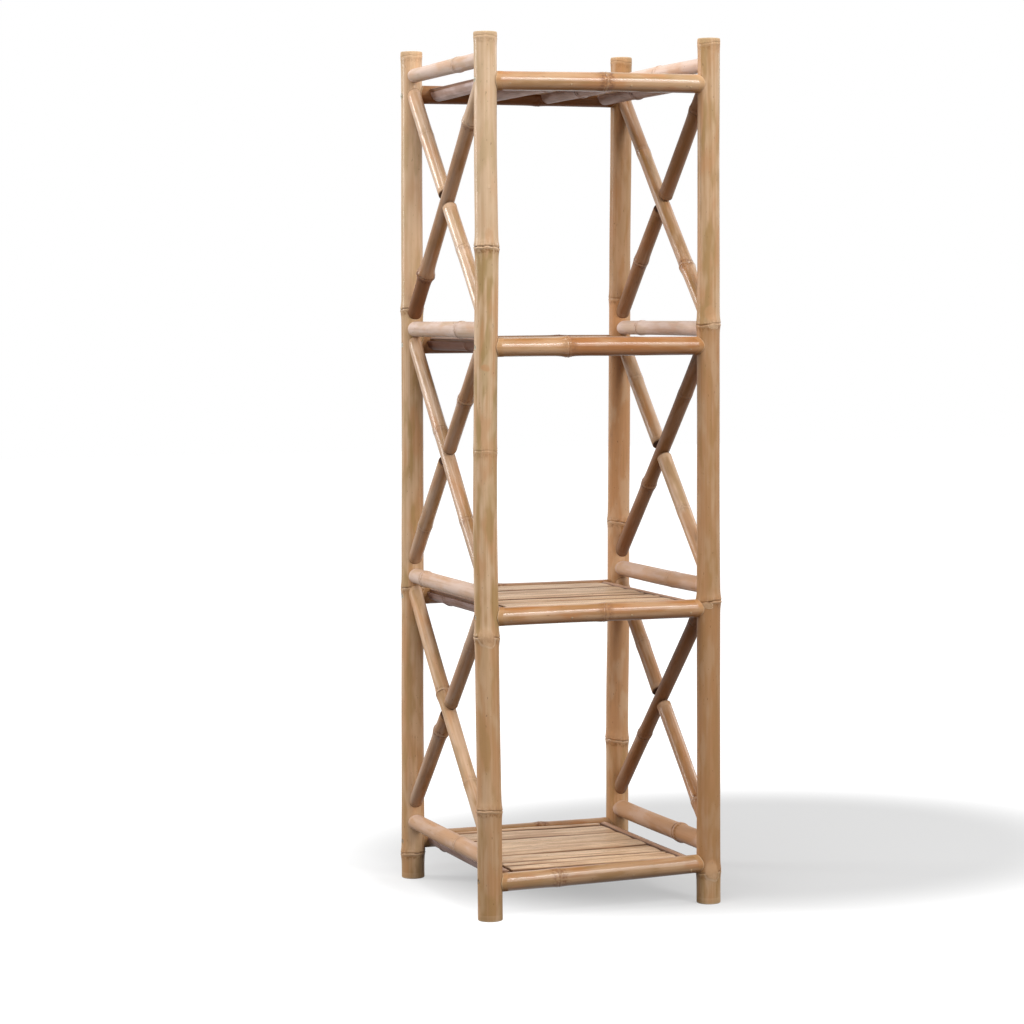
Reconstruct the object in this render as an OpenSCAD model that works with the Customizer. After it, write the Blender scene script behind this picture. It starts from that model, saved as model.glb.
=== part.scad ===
// Four-tier square shelf of round bamboo: two braced side frames joined by four slatted shelves.
// The origin is the middle of the footprint on the floor: +X right, -Y front, +Z up, millimetres.

/* [Overall] */
// Width over the growth rings of the posts
overall_w = 350; // [300:1:480]
// Depth over the growth rings of the posts
overall_d = 350; // [300:1:480]
// Height from the floor to the tops of the posts
overall_h = 1170; // [1000:5:1500]
// Height of the lowest shelf rails' axes above the floor
foot_h = 52; // [40:1:120]
// Height of the posts' tops above the axes of the top shelf rails
head_h = 62; // [50:1:120]
// How far each tier lies above its even place, from the lowest up
tier_shifts = [0, 0, 3.5, 0]; // [-10:0.5:10]

/* [Posts] */
// Diameter of a post between its growth rings
post_dia = 31; // [28:0.5:38]
// Thickness of a post's wall
post_wall = 5; // [3:0.5:8]
// Chamfer at a post's top and foot
post_edge = 0.8; // [0.4:0.1:2]

/* [Rails] */
// Diameter of the shelf rails
rail_dia = 25; // [22:0.5:28]
// Diameter of the side rails
side_rail_dia = 22; // [19:0.5:26]
// Thickness of a shelf rail's wall
shelf_rail_wall = 5; // [4:0.5:7]
// Thickness of a side rail's wall
side_rail_wall = 5.5; // [4:0.5:7]
// Heights of the side rails' axes above the shelf rails' axes, from the lowest tier up
side_rail_lifts = [29.5, 29.5, 22.5, 28]; // [20:0.5:40]

/* [Braces] */
// Diameter of the braces
brace_dia = 20; // [16:0.5:24]
// Thickness of a brace's wall
brace_wall = 6; // [4:0.5:7]
// Heights of a side rail's axis above the ends of the braces under it at the post's axis, bay by bay
brace_top_drops = [10, 8, 16]; // [8:0.5:30]
// Heights of the braces' lower ends above the axis of the side rail under them, bay by bay
brace_foot_lifts = [18, 14, 11]; // [8:0.5:30]

/* [Growth rings] */
// How far a growth ring stands out
ring_swell = 1; // [0.5:0.1:1.5]
// Half the height of a growth ring's swelling
ring_w = 5; // [3:0.5:8]
// Half the height of the flat crest of a growth ring
ring_crest = 1; // [0.5:0.1:2]
// Thickness of the wall inside the culm at a growth ring
septum_t = 4; // [2:0.5:6]
// Places of the rings on the front left post, as shares of its height
front_left_rings = [0.126, 0.323, 0.533, 0.761]; // [0.03:0.001:0.95]
// Places of the rings on the front right post
front_right_rings = [0.052, 0.354, 0.674]; // [0.03:0.001:0.95]
// Places of the rings on the rear left post
rear_left_rings = [0.031, 0.356, 0.693]; // [0.03:0.001:0.95]
// Places of the rings on the rear right post
rear_right_rings = [0.155, 0.428, 0.704]; // [0.03:0.001:0.95]

/* [Decks] */
// Thickness of the slats and end strips
slat_t = 5; // [4:0.5:7]
// Gap between two slats
slat_gap = 1.5; // [0.8:0.1:4]
// Depth of a deck's top below the crowns of the shelf rails
deck_drop = 2; // [1:0.5:5]
// Gap between a deck and the widest part of the shelf rails
deck_clear = 0.6; // [0.5:0.1:3]
// Width of an end strip
strip_w = 12; // [8:0.5:16]
// Gap between the slats' ends and an end strip
strip_gap = 3; // [1:0.5:6]
// Gap between an end strip and the side rail beside it, seen from above
strip_side_gap = 10.5; // [7:0.5:16]
// Length of a slat's end that lies on an end batten
slat_bearing = 6.5; // [5:0.5:8]
// Diameter of the culm that the half-round battens are split from
batten_dia = 25; // [22:0.5:28]
// Diameter of the pith groove along a batten
pith_dia = 6; // [3:0.5:7]
// Number of battens under each deck
batten_count = 4; // [3:1:6]

/* [Joints] */
// Gap at coped joints, around dowels and plugs
fit_gap = 0.2; // [0.1:0.05:0.4]
// Gap around screws and nails, and around a dowel where it crosses a through brace
pin_gap = 0.1; // [0.05:0.05:0.2]
// Depth of a dowel inside a rail or brace
dowel_grip = 25; // [15:1:35]
// Reach of a dowel past the face of the post that it enters
dowel_reach = 10; // [7:0.5:12]
// Length of the plug in a shelf rail's end
plug_len = 32; // [26:1:38]

/* [Screws and nails] */
// Diameter of a shelf screw
screw_dia = 4; // [3:0.5:5]
// Length of a shelf screw under its head
screw_len = 50; // [42:1:54]
// Length of the point of a shelf screw
screw_point = 5; // [3:0.5:8]
// Diameter of a shelf screw's head
screw_head_dia = 7; // [6:0.5:9]
// Thickness of a shelf screw's head
screw_head_t = 2.2; // [1.5:0.1:3]
// Depth of the screw heads below the posts' skin
screw_sink = 0.5; // [0.3:0.1:1]
// Width of one arm of the recess in a screw head
recess_w = 0.9; // [0.6:0.1:1.2]
// Length across the recess in a screw head
recess_len = 4; // [3:0.1:5]
// Depth of the recess in a screw head
recess_deep = 1.2; // [0.8:0.1:1.4]
// Diameter of a nail
nail_dia = 1.6; // [1.2:0.1:2]
// Diameter of a nail's head
nail_head_dia = 3; // [2.4:0.1:4]
// Thickness of a nail's head
nail_head_t = 0.8; // [0.5:0.1:1.2]
// Depth of the nail heads below the wood
nail_sink = 0.1; // [0:0.05:0.3]
// Length of the nails that hold slats and strips
slat_nail_len = 12; // [9:0.5:13]
// Length of the nails that hold the battens' ends
batten_nail_len = 40; // [32:1:50]
// Depth of a batten's end nails below the rail's axis
batten_nail_drop = 4; // [3.5:0.1:5]
// Number of nails in an end strip
strip_nails = 4; // [3:1:7]

/* [Hidden] */
tiers = 4;
bays = tiers - 1;
LEFT = -1;
RIGHT = 1;
FRONT = -1;
REAR = 1;
// How far a cutting body reaches past what it cuts
past = 1;
$fn = 64;

post_r = post_dia / 2;
post_bore = post_dia - 2 * post_wall;
rail_r = rail_dia / 2;
brace_r = brace_dia / 2;
batten_r = batten_dia / 2;
shelf_rail_bore = rail_dia - 2 * shelf_rail_wall;
side_rail_bore = side_rail_dia - 2 * side_rail_wall;
brace_bore = brace_dia - 2 * brace_wall;

// Distance of the posts' axes from the middle
post_x = overall_w / 2 - post_r - ring_swell;
post_y = overall_d / 2 - post_r - ring_swell;
tier_pitch = (overall_h - foot_h - head_h) / bays;
// The topmost ring of a post closes it just below the cut
top_ring_z = overall_h - ring_w - 2 * post_edge;

// Decks, from the side rails inwards
strip_out = post_x - side_rail_dia / 2 - strip_side_gap;
strip_in = strip_out - strip_w;
slat_end = strip_in - strip_gap;
deck_y = post_y - rail_r - deck_clear;
end_batten_x = slat_end - slat_bearing + batten_r;
end_nail_x = slat_end - slat_bearing / 2;

// Widths of the slats from rear to front as parts of the deck: split culms are never alike
slat_parts = [17, 59, 65, 50, 48, 22, 31];
slat_count = len(slat_parts);
// How much further to the rear each seam between slats lies at its right end
seam_skews = [-5, -3, 4, 8, 1, 5];

// Places of the growth rings, as shares of the culm between the axes that it joins
front_rail_rings = [0.297, 0.518, 0.354, 0.523];
rear_rail_rings = [0.621, 0.41, 0.7, 0.595];
left_rail_rings = [0.338, 0.8, 0.301, 0.329];
right_rail_rings = [0.285, 0.361, 0.723, 0.55];
left_through_rings = [[0.22, 0.65], [0.24, 0.6], [0.244, 0.8]];
right_through_rings = [[0.3, 0.77], [0.25, 0.65], [0.22, 0.72]];
// Places on the half braces, as shares of the way from the crossing to the post's axis
left_upper_rings = [[0.6], [0.4], [0.55]];
left_lower_rings = [[0.445], [0.62], [0.458]];
right_upper_rings = [[0.42], [0.6], [0.5]];
right_lower_rings = [[0.64], [0.5], [0.66]];
// Which way each left through brace climbs, from the lowest bay up: to the rear or to the front.
// The right frame is its mirror image.
left_through_climbs = [REAR, REAR, FRONT];

function tier_z(k) = foot_h + (k - 1) * tier_pitch + tier_shifts[k - 1];
function side_z(k) = tier_z(k) + side_rail_lifts[k - 1];
// Each brace of bay b climbs from one post's axis to the other's
function brace_foot_z(b) = side_z(b) + brace_foot_lifts[b - 1];
function brace_top_z(b) = side_z(b + 1) - brace_top_drops[b - 1];
function bay_z(b) = (brace_foot_z(b) + brace_top_z(b)) / 2;
function brace_rise(b) = brace_top_z(b) - brace_foot_z(b);
function brace_angle(b) = atan(brace_rise(b) / (2 * post_y));
function brace_len(b) = norm([2 * post_y, brace_rise(b)]);
// Way along a brace's axis from the post's axis to the post's face
function brace_to_face(b) = post_r / cos(brace_angle(b));
function deck_z(k) = tier_z(k) + rail_r - deck_drop;
function batten_x(i) = end_batten_x * (2 * i / (batten_count - 1) - 1);
function climb(side, b) = -side * left_through_climbs[b - 1];
function post_rings(side, end) =
    end == FRONT ? (side == LEFT ? front_left_rings : front_right_rings)
                 : (side == LEFT ? rear_left_rings : rear_right_rings);
function sum_to(list, n) = n == 0 ? 0 : list[n - 1] + sum_to(list, n - 1);
// Part of slat i on tier k: each tier starts at another slat of the same set
function slat_part(k, i) = slat_parts[(i + 2 * (k - 1)) % slat_count];
function tier_parts(k) = [for (i = [0 : slat_count - 1]) slat_part(k, i)];
function seam_skew(k, i) =
    i == 0 || i == slat_count ? 0 : seam_skews[(i - 1 + 2 * (k - 1)) % (slat_count - 1)];
// Depth at which seam i of tier k crosses the line at x
function seam_y(k, i, x) =
    deck_y * (1 - 2 * sum_to(tier_parts(k), i) / sum_to(slat_parts, slat_count))
    + seam_skew(k, i) * x / (2 * slat_end);
function slat_mid(k, i, x) = (seam_y(k, i, x) + seam_y(k, i + 1, x)) / 2;
function slat_nail_x(i) =
    i == 0 ? -end_nail_x : i == batten_count - 1 ? end_nail_x : batten_x(i);
function strip_nail_y(i) = deck_y * ((2 * i + 1) / strip_nails - 1);

// Outline of one growth ring at height z on a culm of radius r
function ring_points(z, r) =
    [[r, z - ring_w], [r + ring_swell, z - ring_crest], [r + ring_swell, z + ring_crest], [r, z + ring_w]];
// Half outline of a whole culm: its ends are chamfered by edge
function culm_points(length, r, ring_heights, edge) = concat(
    [[0, 0], [r - edge, 0]],
    edge > 0 ? [[r, edge]] : [],
    [for (z = ring_heights) each ring_points(z, r)],
    edge > 0 ? [[r, length - edge]] : [],
    [[r - edge, length], [0, length]]);

// Outer body of a culm along +Z
module culm_body(length, dia, ring_heights, edge = 0, grow = 0)
    rotate_extrude() polygon(culm_points(length, dia / 2 + grow, ring_heights, edge));

// Hollows of a culm between its septa, open at both ends
module culm_hollows(length, bore, ring_heights) {
    floors = concat([-past], [for (z = ring_heights) z + septum_t / 2]);
    tops = concat([for (z = ring_heights) z - septum_t / 2], [length + past]);
    for (i = [0 : len(floors) - 1])
        translate([0, 0, floors[i]]) cylinder(h = tops[i] - floors[i], d = bore);
}

module culm(length, dia, bore, ring_heights, edge = 0)
    difference() {
        culm_body(length, dia, ring_heights, edge);
        culm_hollows(length, bore, ring_heights);
    }

function shares_of(length, shares) = [for (t = shares) t * length];
function post_ring_heights(side, end) = concat(shares_of(overall_h, post_rings(side, end)), [top_ring_z]);

// Puts a child on a post's axis, upright
module at_post(side, end) translate([side * post_x, end * post_y, 0]) children();
// Puts a child on a post's axis with +Z pointing out to the left or right
module out_sideways(side, end, z)
    translate([side * post_x, end * post_y, z]) rotate([0, 90 * side, 0]) children();
// Puts a child on a post's axis with +Z pointing out to the front or rear
module out_endways(side, end, z)
    translate([side * post_x, end * post_y, z]) rotate([-90 * end, 0, 0]) children();
// Puts a child at the middle of a bay with +Z along the brace that climbs that way, towards the rear
module along_brace(side, b, way)
    translate([side * post_x, 0, bay_z(b)]) rotate([way * brace_angle(b) - 90, 0, 0]) children();

// What a coped piece leaves free for a post
module post_cut(side, end)
    at_post(side, end) culm_body(overall_h, post_dia, post_ring_heights(side, end), 0, fit_gap);

module shelf_screw_cut() {
    translate([0, 0, post_r - screw_sink - screw_head_t])
        cylinder(h = screw_sink + screw_head_t + past, d = screw_head_dia + 2 * pin_gap);
    translate([0, 0, post_r - screw_sink - screw_head_t - screw_len - pin_gap])
        cylinder(h = screw_len + pin_gap + past / 2, d = screw_dia + 2 * pin_gap);
}

module shelf_screw()
    translate([0, 0, post_r - screw_sink - screw_head_t]) {
        difference() {
            cylinder(h = screw_head_t, d = screw_head_dia);
            for (turn = [0, 90]) rotate([0, 0, turn])
                translate([-recess_len / 2, -recess_w / 2, screw_head_t - recess_deep])
                    cube([recess_len, recess_w, recess_deep + past]);
        }
        translate([0, 0, screw_point - screw_len]) cylinder(h = screw_len - screw_point, d = screw_dia);
        translate([0, 0, -screw_len]) cylinder(h = screw_point, d1 = 0, d2 = screw_dia);
    }

// Nail that points down from the origin, its head's top just under the wood
module nail(length)
    translate([0, 0, -nail_sink - nail_head_t]) {
        cylinder(h = nail_head_t, d = nail_head_dia);
        translate([0, 0, -length]) cylinder(h = length, d = nail_dia);
    }

module nail_cut(length)
    translate([0, 0, -nail_sink - nail_head_t]) {
        cylinder(h = nail_head_t + nail_sink + past, d = nail_head_dia + 2 * pin_gap);
        translate([0, 0, -length - pin_gap]) cylinder(h = length + pin_gap + past / 2, d = nail_dia + 2 * pin_gap);
    }

// Children at every nail that holds a slat of tier k
module at_slat_nails(k)
    for (i = [0 : slat_count - 1], j = [0 : batten_count - 1])
        translate([slat_nail_x(j), slat_mid(k, i, slat_nail_x(j)), deck_z(k)]) children();

// Children at every nail of an end strip of tier k
module at_strip_nails(side, k)
    for (i = [0 : strip_nails - 1])
        translate([side * (strip_in + strip_out) / 2, strip_nail_y(i), deck_z(k)]) children();

// Children at every nail through a shelf rail of tier k, with +Z pointing out of the rail
module at_batten_nails(end, k)
    for (i = [0 : batten_count - 1])
        translate([batten_x(i), end * post_y, tier_z(k) - batten_nail_drop])
            rotate([-90 * end, 0, 0])
                translate([0, 0, sqrt(pow(rail_r, 2) - pow(batten_nail_drop, 2)) - nail_sink]) children();

// Dowel from a rail or brace into a post, +Z towards the post, whose face is at face_z
module dowel(face_z, bore, grow = 0)
    translate([0, 0, face_z - dowel_grip - grow])
        cylinder(h = dowel_grip + dowel_reach + 2 * grow, d = bore - 2 * fit_gap + 2 * grow);

module side_rail_dowel(side, end, k, grow = 0)
    out_endways(side, end, side_z(k)) dowel(-post_r, side_rail_bore, grow);

module brace_dowel(side, b, way, end, grow = 0)
    along_brace(side, b, way) mirror([0, 0, end == REAR ? 0 : 1])
        dowel(brace_len(b) / 2 - brace_to_face(b), brace_bore, grow);

// Dowel through a through brace into both half braces, which climb the other way
module cross_dowel(side, b, grow = 0) {
    half = brace_r + dowel_grip / 2;
    along_brace(side, b, -climb(side, b)) translate([0, 0, -half - grow])
        cylinder(h = 2 * (half + grow), d = brace_bore - 2 * fit_gap + 2 * grow);
}

module post(side, end)
    color("#c8a06a") difference() {
        at_post(side, end)
            culm(overall_h, post_dia, post_bore, post_ring_heights(side, end), post_edge);
        for (k = [1 : tiers]) {
            out_sideways(side, end, tier_z(k)) shelf_screw_cut();
            side_rail_dowel(side, end, k, fit_gap);
        }
        for (b = [1 : bays], way = [FRONT, REAR]) brace_dowel(side, b, way, end, fit_gap);
    }

module shelf_rail(end, k, ring)
    color("#c08a52") difference() {
        translate([-post_x, end * post_y, tier_z(k)]) rotate([0, 90, 0])
            culm(2 * post_x, rail_dia, shelf_rail_bore, [ring * 2 * post_x]);
        for (side = [LEFT, RIGHT]) post_cut(side, end);
        at_batten_nails(end, k) nail_cut(batten_nail_len);
    }

module side_rail_blank(side, k, ring, grow = 0)
    translate([side * post_x, -post_y, side_z(k)]) rotate([-90, 0, 0])
        culm_body(2 * post_y, side_rail_dia, [ring * 2 * post_y], 0, grow);

module side_rail(side, k, ring)
    color("#cbb08c") difference() {
        side_rail_blank(side, k, ring);
        translate([side * post_x, -post_y, side_z(k)]) rotate([-90, 0, 0])
            culm_hollows(2 * post_y, side_rail_bore, [ring * 2 * post_y]);
        for (end = [FRONT, REAR]) post_cut(side, end);
    }

function side_rings(side) = side == LEFT ? left_rail_rings : right_rail_rings;

// What the braces of bay b leave free for the side rails above and below
module side_rail_cuts(side, b)
    for (k = [b, b + 1]) side_rail_blank(side, k, side_rings(side)[k - 1], fit_gap);

module through_brace_body(side, b, shares, grow = 0)
    along_brace(side, b, climb(side, b)) translate([0, 0, -brace_len(b) / 2])
        culm_body(brace_len(b), brace_dia, shares_of(brace_len(b), shares), 0, grow);

module through_brace(side, b, shares)
    color("#b98f5e") difference() {
        through_brace_body(side, b, shares);
        along_brace(side, b, climb(side, b)) translate([0, 0, -brace_len(b) / 2])
            culm_hollows(brace_len(b), brace_bore, shares_of(brace_len(b), shares));
        for (end = [FRONT, REAR]) post_cut(side, end);
        side_rail_cuts(side, b);
        cross_dowel(side, b, pin_gap);
    }

// Half brace from the crossing to the post at one end
module half_brace(side, b, end, shares, through_shares)
    color("#c0976a") difference() {
        along_brace(side, b, -climb(side, b)) mirror([0, 0, end == REAR ? 0 : 1])
            culm(brace_len(b) / 2, brace_dia, brace_bore, shares_of(brace_len(b) / 2, shares));
        post_cut(side, end);
        side_rail_cuts(side, b);
        through_brace_body(side, b, through_shares, fit_gap);
    }

module slats(k)
    color("#cdae86") difference() {
        translate([0, 0, deck_z(k) - slat_t]) linear_extrude(slat_t)
            for (i = [0 : slat_count - 1]) polygon([
                [-slat_end, seam_y(k, i, -slat_end) - slat_gap / 2],
                [slat_end, seam_y(k, i, slat_end) - slat_gap / 2],
                [slat_end, seam_y(k, i + 1, slat_end) + slat_gap / 2],
                [-slat_end, seam_y(k, i + 1, -slat_end) + slat_gap / 2]]);
        at_slat_nails(k) nail_cut(slat_nail_len);
    }

module end_strip(side, k)
    color("#c8a57c") difference() {
        translate([side * (strip_in + strip_out) / 2 - strip_w / 2, -deck_y, deck_z(k) - slat_t])
            cube([strip_w, 2 * deck_y, slat_t]);
        at_strip_nails(side, k) nail_cut(slat_nail_len);
    }

module battens(k)
    color("#a58866") difference() {
        for (i = [0 : batten_count - 1])
            translate([batten_x(i), -post_y, deck_z(k) - slat_t]) rotate([-90, 0, 0])
                intersection() {
                    difference() {
                        cylinder(h = 2 * post_y, d = batten_dia);
                        translate([0, 0, -past]) cylinder(h = 2 * (post_y + past), d = pith_dia);
                    }
                    translate([-batten_dia, 0, -past]) cube([2 * batten_dia, batten_dia, 2 * (post_y + past)]);
                }
        for (end = [FRONT, REAR]) {
            translate([-post_x, end * post_y, tier_z(k)]) rotate([0, 90, 0])
                cylinder(h = 2 * post_x, r = rail_r + ring_swell + fit_gap);
            at_batten_nails(end, k) nail_cut(batten_nail_len);
        }
        at_slat_nails(k) nail_cut(slat_nail_len);
        for (side = [LEFT, RIGHT]) at_strip_nails(side, k) nail_cut(slat_nail_len);
    }

module rail_plugs()
    color("#d9be8f") for (side = [LEFT, RIGHT], end = [FRONT, REAR], k = [1 : tiers])
        difference() {
            out_sideways(side, end, tier_z(k)) translate([0, 0, -post_r - plug_len])
                cylinder(h = post_r + plug_len, d = shelf_rail_bore - 2 * fit_gap);
            post_cut(side, end);
            out_sideways(side, end, tier_z(k)) shelf_screw_cut();
            at_batten_nails(end, k) nail_cut(batten_nail_len);
        }

module shelf_screws()
    color("#9a9a98") for (side = [LEFT, RIGHT], end = [FRONT, REAR], k = [1 : tiers])
        out_sideways(side, end, tier_z(k)) shelf_screw();

module side_rail_dowels()
    color("#d9be8f") for (side = [LEFT, RIGHT], end = [FRONT, REAR], k = [1 : tiers])
        side_rail_dowel(side, end, k);

module brace_dowels()
    color("#d9be8f") for (side = [LEFT, RIGHT], end = [FRONT, REAR], b = [1 : bays], way = [FRONT, REAR])
        brace_dowel(side, b, way, end);

module cross_dowels()
    color("#d9be8f") for (side = [LEFT, RIGHT], b = [1 : bays]) cross_dowel(side, b);

module deck_nails()
    color("#b0aca4") for (k = [1 : tiers]) {
        at_slat_nails(k) nail(slat_nail_len);
        for (side = [LEFT, RIGHT]) at_strip_nails(side, k) nail(slat_nail_len);
        for (end = [FRONT, REAR]) at_batten_nails(end, k) nail(batten_nail_len);
    }

post(LEFT, FRONT);  // front_left_post
post(RIGHT, FRONT);  // front_right_post
post(LEFT, REAR);  // rear_left_post
post(RIGHT, REAR);  // rear_right_post
for (k = [1 : tiers]) {
    shelf_rail(FRONT, k, front_rail_rings[k - 1]);
    shelf_rail(REAR, k, rear_rail_rings[k - 1]);
    side_rail(LEFT, k, left_rail_rings[k - 1]);
    side_rail(RIGHT, k, right_rail_rings[k - 1]);
    slats(k);
    end_strip(LEFT, k);
    end_strip(RIGHT, k);
    battens(k);
}
for (b = [1 : bays]) {
    through_brace(LEFT, b, left_through_rings[b - 1]);
    half_brace(LEFT, b, -climb(LEFT, b), left_upper_rings[b - 1], left_through_rings[b - 1]);
    half_brace(LEFT, b, climb(LEFT, b), left_lower_rings[b - 1], left_through_rings[b - 1]);
    through_brace(RIGHT, b, right_through_rings[b - 1]);
    half_brace(RIGHT, b, -climb(RIGHT, b), right_upper_rings[b - 1], right_through_rings[b - 1]);
    half_brace(RIGHT, b, climb(RIGHT, b), right_lower_rings[b - 1], right_through_rings[b - 1]);
}
rail_plugs();
shelf_screws();
side_rail_dowels();
brace_dowels();
cross_dowels();
deck_nails();
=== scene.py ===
# %% [markdown]
# # A four-tier shelf of round bamboo
#
# The real shelf is a cage of bamboo culms. Four posts stand at the corners, rails run from post to
# post, crossed braces stiffen the two sides and split slats make the four decks. Nothing on it is
# quite straight or quite round, and that is most of its charm. The construction is already exact in
# the frame that is loaded here, so this lesson only dresses it: every culm gets a grown shape and a
# skin, and each new piece takes its place from the node that it stands for.

# %% Load the construction
import math
from functools import partial

import bpy
import numpy as np
from mathutils import Matrix, Vector


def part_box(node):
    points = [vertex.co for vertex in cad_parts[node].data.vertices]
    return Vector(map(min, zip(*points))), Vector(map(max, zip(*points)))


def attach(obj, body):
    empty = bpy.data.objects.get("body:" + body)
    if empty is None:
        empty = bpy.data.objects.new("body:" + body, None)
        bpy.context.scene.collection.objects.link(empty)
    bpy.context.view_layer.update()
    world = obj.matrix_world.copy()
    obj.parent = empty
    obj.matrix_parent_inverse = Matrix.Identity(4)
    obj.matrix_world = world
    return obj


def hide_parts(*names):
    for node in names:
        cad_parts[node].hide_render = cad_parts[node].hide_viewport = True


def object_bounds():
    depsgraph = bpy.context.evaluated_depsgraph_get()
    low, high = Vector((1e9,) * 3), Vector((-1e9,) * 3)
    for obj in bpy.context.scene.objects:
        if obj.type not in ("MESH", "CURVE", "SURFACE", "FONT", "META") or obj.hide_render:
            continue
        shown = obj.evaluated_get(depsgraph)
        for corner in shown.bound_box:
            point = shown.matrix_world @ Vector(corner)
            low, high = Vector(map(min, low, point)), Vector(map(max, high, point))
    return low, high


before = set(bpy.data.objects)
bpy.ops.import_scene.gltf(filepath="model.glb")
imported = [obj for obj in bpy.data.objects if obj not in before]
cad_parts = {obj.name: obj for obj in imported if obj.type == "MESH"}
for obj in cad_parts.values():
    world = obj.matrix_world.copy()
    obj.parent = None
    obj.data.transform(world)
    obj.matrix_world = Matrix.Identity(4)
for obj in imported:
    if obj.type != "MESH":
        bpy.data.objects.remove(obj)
cad_box = [list(corner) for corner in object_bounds()]
MM = 0.001
print("construction box", np.round(cad_box, 4).tolist())

# %% [markdown]
# ## Camera
#
# The photograph looks at the shelf from its left front, a little below the middle and slightly
# downwards. A long lens keeps the posts nearly parallel. The camera could be aimed with a Track To
# constraint, but a matrix built from heading, tilt and roll says the same in three plain angles.

# %% Place the camera
CAMERA_PLACE = Vector((-1.464, -3.765, 0.812))
CAMERA_HEADING = math.radians(20.36)
CAMERA_TILT = math.radians(4.007)
CAMERA_ROLL = math.radians(0.24)
CAMERA_LENS = 102.7


def camera_matrix(place, heading, tilt, roll):
    """Heading turns from +Y towards +X, tilt looks down, and roll turns the picture."""
    forward = Vector(
        (math.sin(heading) * math.cos(tilt), math.cos(heading) * math.cos(tilt), -math.sin(tilt))
    )
    right = Vector((math.cos(heading), -math.sin(heading), 0))
    up = right.cross(forward)
    x_axis = right * math.cos(roll) - up * math.sin(roll)
    y_axis = right * math.sin(roll) + up * math.cos(roll)
    turned = Matrix((x_axis, y_axis, -forward)).transposed().to_4x4()
    turned.translation = place
    return turned


scene = bpy.context.scene
camera_data = bpy.data.cameras.new("camera")
camera_data.sensor_fit = "HORIZONTAL"
camera_data.sensor_width = 36
camera_data.lens = CAMERA_LENS
camera = bpy.data.objects.new("camera", camera_data)
camera.matrix_world = camera_matrix(CAMERA_PLACE, CAMERA_HEADING, CAMERA_TILT, CAMERA_ROLL)
scene.collection.objects.link(camera)
scene.camera = camera
scene.view_settings.view_transform = "Standard"
print("camera at", [round(v, 3) for v in CAMERA_PLACE])

# %% [markdown]
# ## Shader maths as plain expressions
#
# A material is a graph of nodes, and writing one link at a time hides what it computes. Here a
# socket is wrapped in a small class whose operators add Math nodes, so that `1 - mask` or
# `fine * 0.5` reads like the formula it is. One method adds every other kind of node.

# %% Wrap sockets and node trees
BUMP_DEPTH = 0.0005


class Flow:
    """A number, colour or vector that flows through a material."""

    def __init__(self, graph, socket):
        self.graph = graph
        self.socket = socket

    def math(self, operation, *values):
        return self.graph.node(
            "ShaderNodeMath", {"operation": operation}, dict(enumerate(values))
        )

    def __add__(self, other):
        return self.math("ADD", self, other)

    def __radd__(self, other):
        return self.math("ADD", other, self)

    def __sub__(self, other):
        return self.math("SUBTRACT", self, other)

    def __rsub__(self, other):
        return self.math("SUBTRACT", other, self)

    def __mul__(self, other):
        return self.math("MULTIPLY", self, other)

    def __rmul__(self, other):
        return self.math("MULTIPLY", other, self)

    def __abs__(self):
        return self.math("ABSOLUTE", self)

    def rise(self, low, high):
        """0 below low, 1 above high, and a smooth step between them."""
        return self.graph.node(
            "ShaderNodeMapRange",
            {"interpolation_type": "SMOOTHSTEP"},
            {"Value": self, "From Min": low, "From Max": high},
        )

    def near(self, middle, flat, fade):
        """1 within flat of the middle, falling smoothly to 0 at fade."""
        return 1 - abs(self - middle).rise(flat, fade)


class Graph:
    """The node tree of a material, or of the world."""

    def __init__(self, name, owner=None):
        self.material = owner or bpy.data.materials.new(name)
        self.material.use_nodes = True
        self.tree = self.material.node_tree
        self.tree.nodes.clear()

    def node(self, kind, settings=None, inputs=None, output=0):
        """Adds a node: settings first, then a value or a link for each input."""
        made = self.tree.nodes.new(kind)
        for key, value in (settings or {}).items():
            setattr(made, key, value)
        for key, value in (inputs or {}).items():
            if isinstance(value, Flow):
                self.tree.links.new(value.socket, made.inputs[key])
            else:
                made.inputs[key].default_value = value
        return Flow(self, made.outputs[output] if made.outputs else None)

    def attribute(self, name, output="Fac"):
        """What the mesh carries under that name."""
        return self.node("ShaderNodeAttribute", {"attribute_name": name}, output=output)

    def mix(self, factor, first, second):
        """The first colour where the factor is 0, the second where it is 1."""
        inputs = {0: factor, 6: first, 7: second}
        return self.node("ShaderNodeMix", {"data_type": "RGBA"}, inputs, output=2)

    def stretched(self, vector, factors):
        """A vector whose three parts are each multiplied."""
        return self.node("ShaderNodeVectorMath", {"operation": "MULTIPLY"}, {0: vector, 1: factors})

    def noise(self, vector, factors, detail=2.0, rough=0.5):
        """Cloud noise whose size along each axis is 1 over that factor."""
        inputs = {"Vector": self.stretched(vector, factors), "Scale": 1.0}
        inputs.update({"Detail": detail, "Roughness": rough})
        return self.node("ShaderNodeTexNoise", {}, inputs)

    def bump(self, strength, height):
        """Bumps BUMP_DEPTH metres deep, where the height runs from 0 to 1."""
        inputs = {"Strength": strength, "Distance": BUMP_DEPTH, "Height": height}
        return self.node("ShaderNodeBump", {}, inputs)

    def surface(self, inputs):
        """Ends the graph in a Principled surface."""
        shader = self.node("ShaderNodeBsdfPrincipled", {}, inputs)
        self.node("ShaderNodeOutputMaterial", {}, {"Surface": shader})
        return self.material


def colour(red, green, blue):
    """A colour as a screen shows it, from 0 to 255, turned into the light values that nodes use."""
    value = np.array([red, green, blue]) / 255
    light = np.where(value <= 0.04045, value / 12.92, ((value + 0.055) / 1.055) ** 2.4)
    return (*light.tolist(), 1.0)


print("shader helpers ready")

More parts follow.
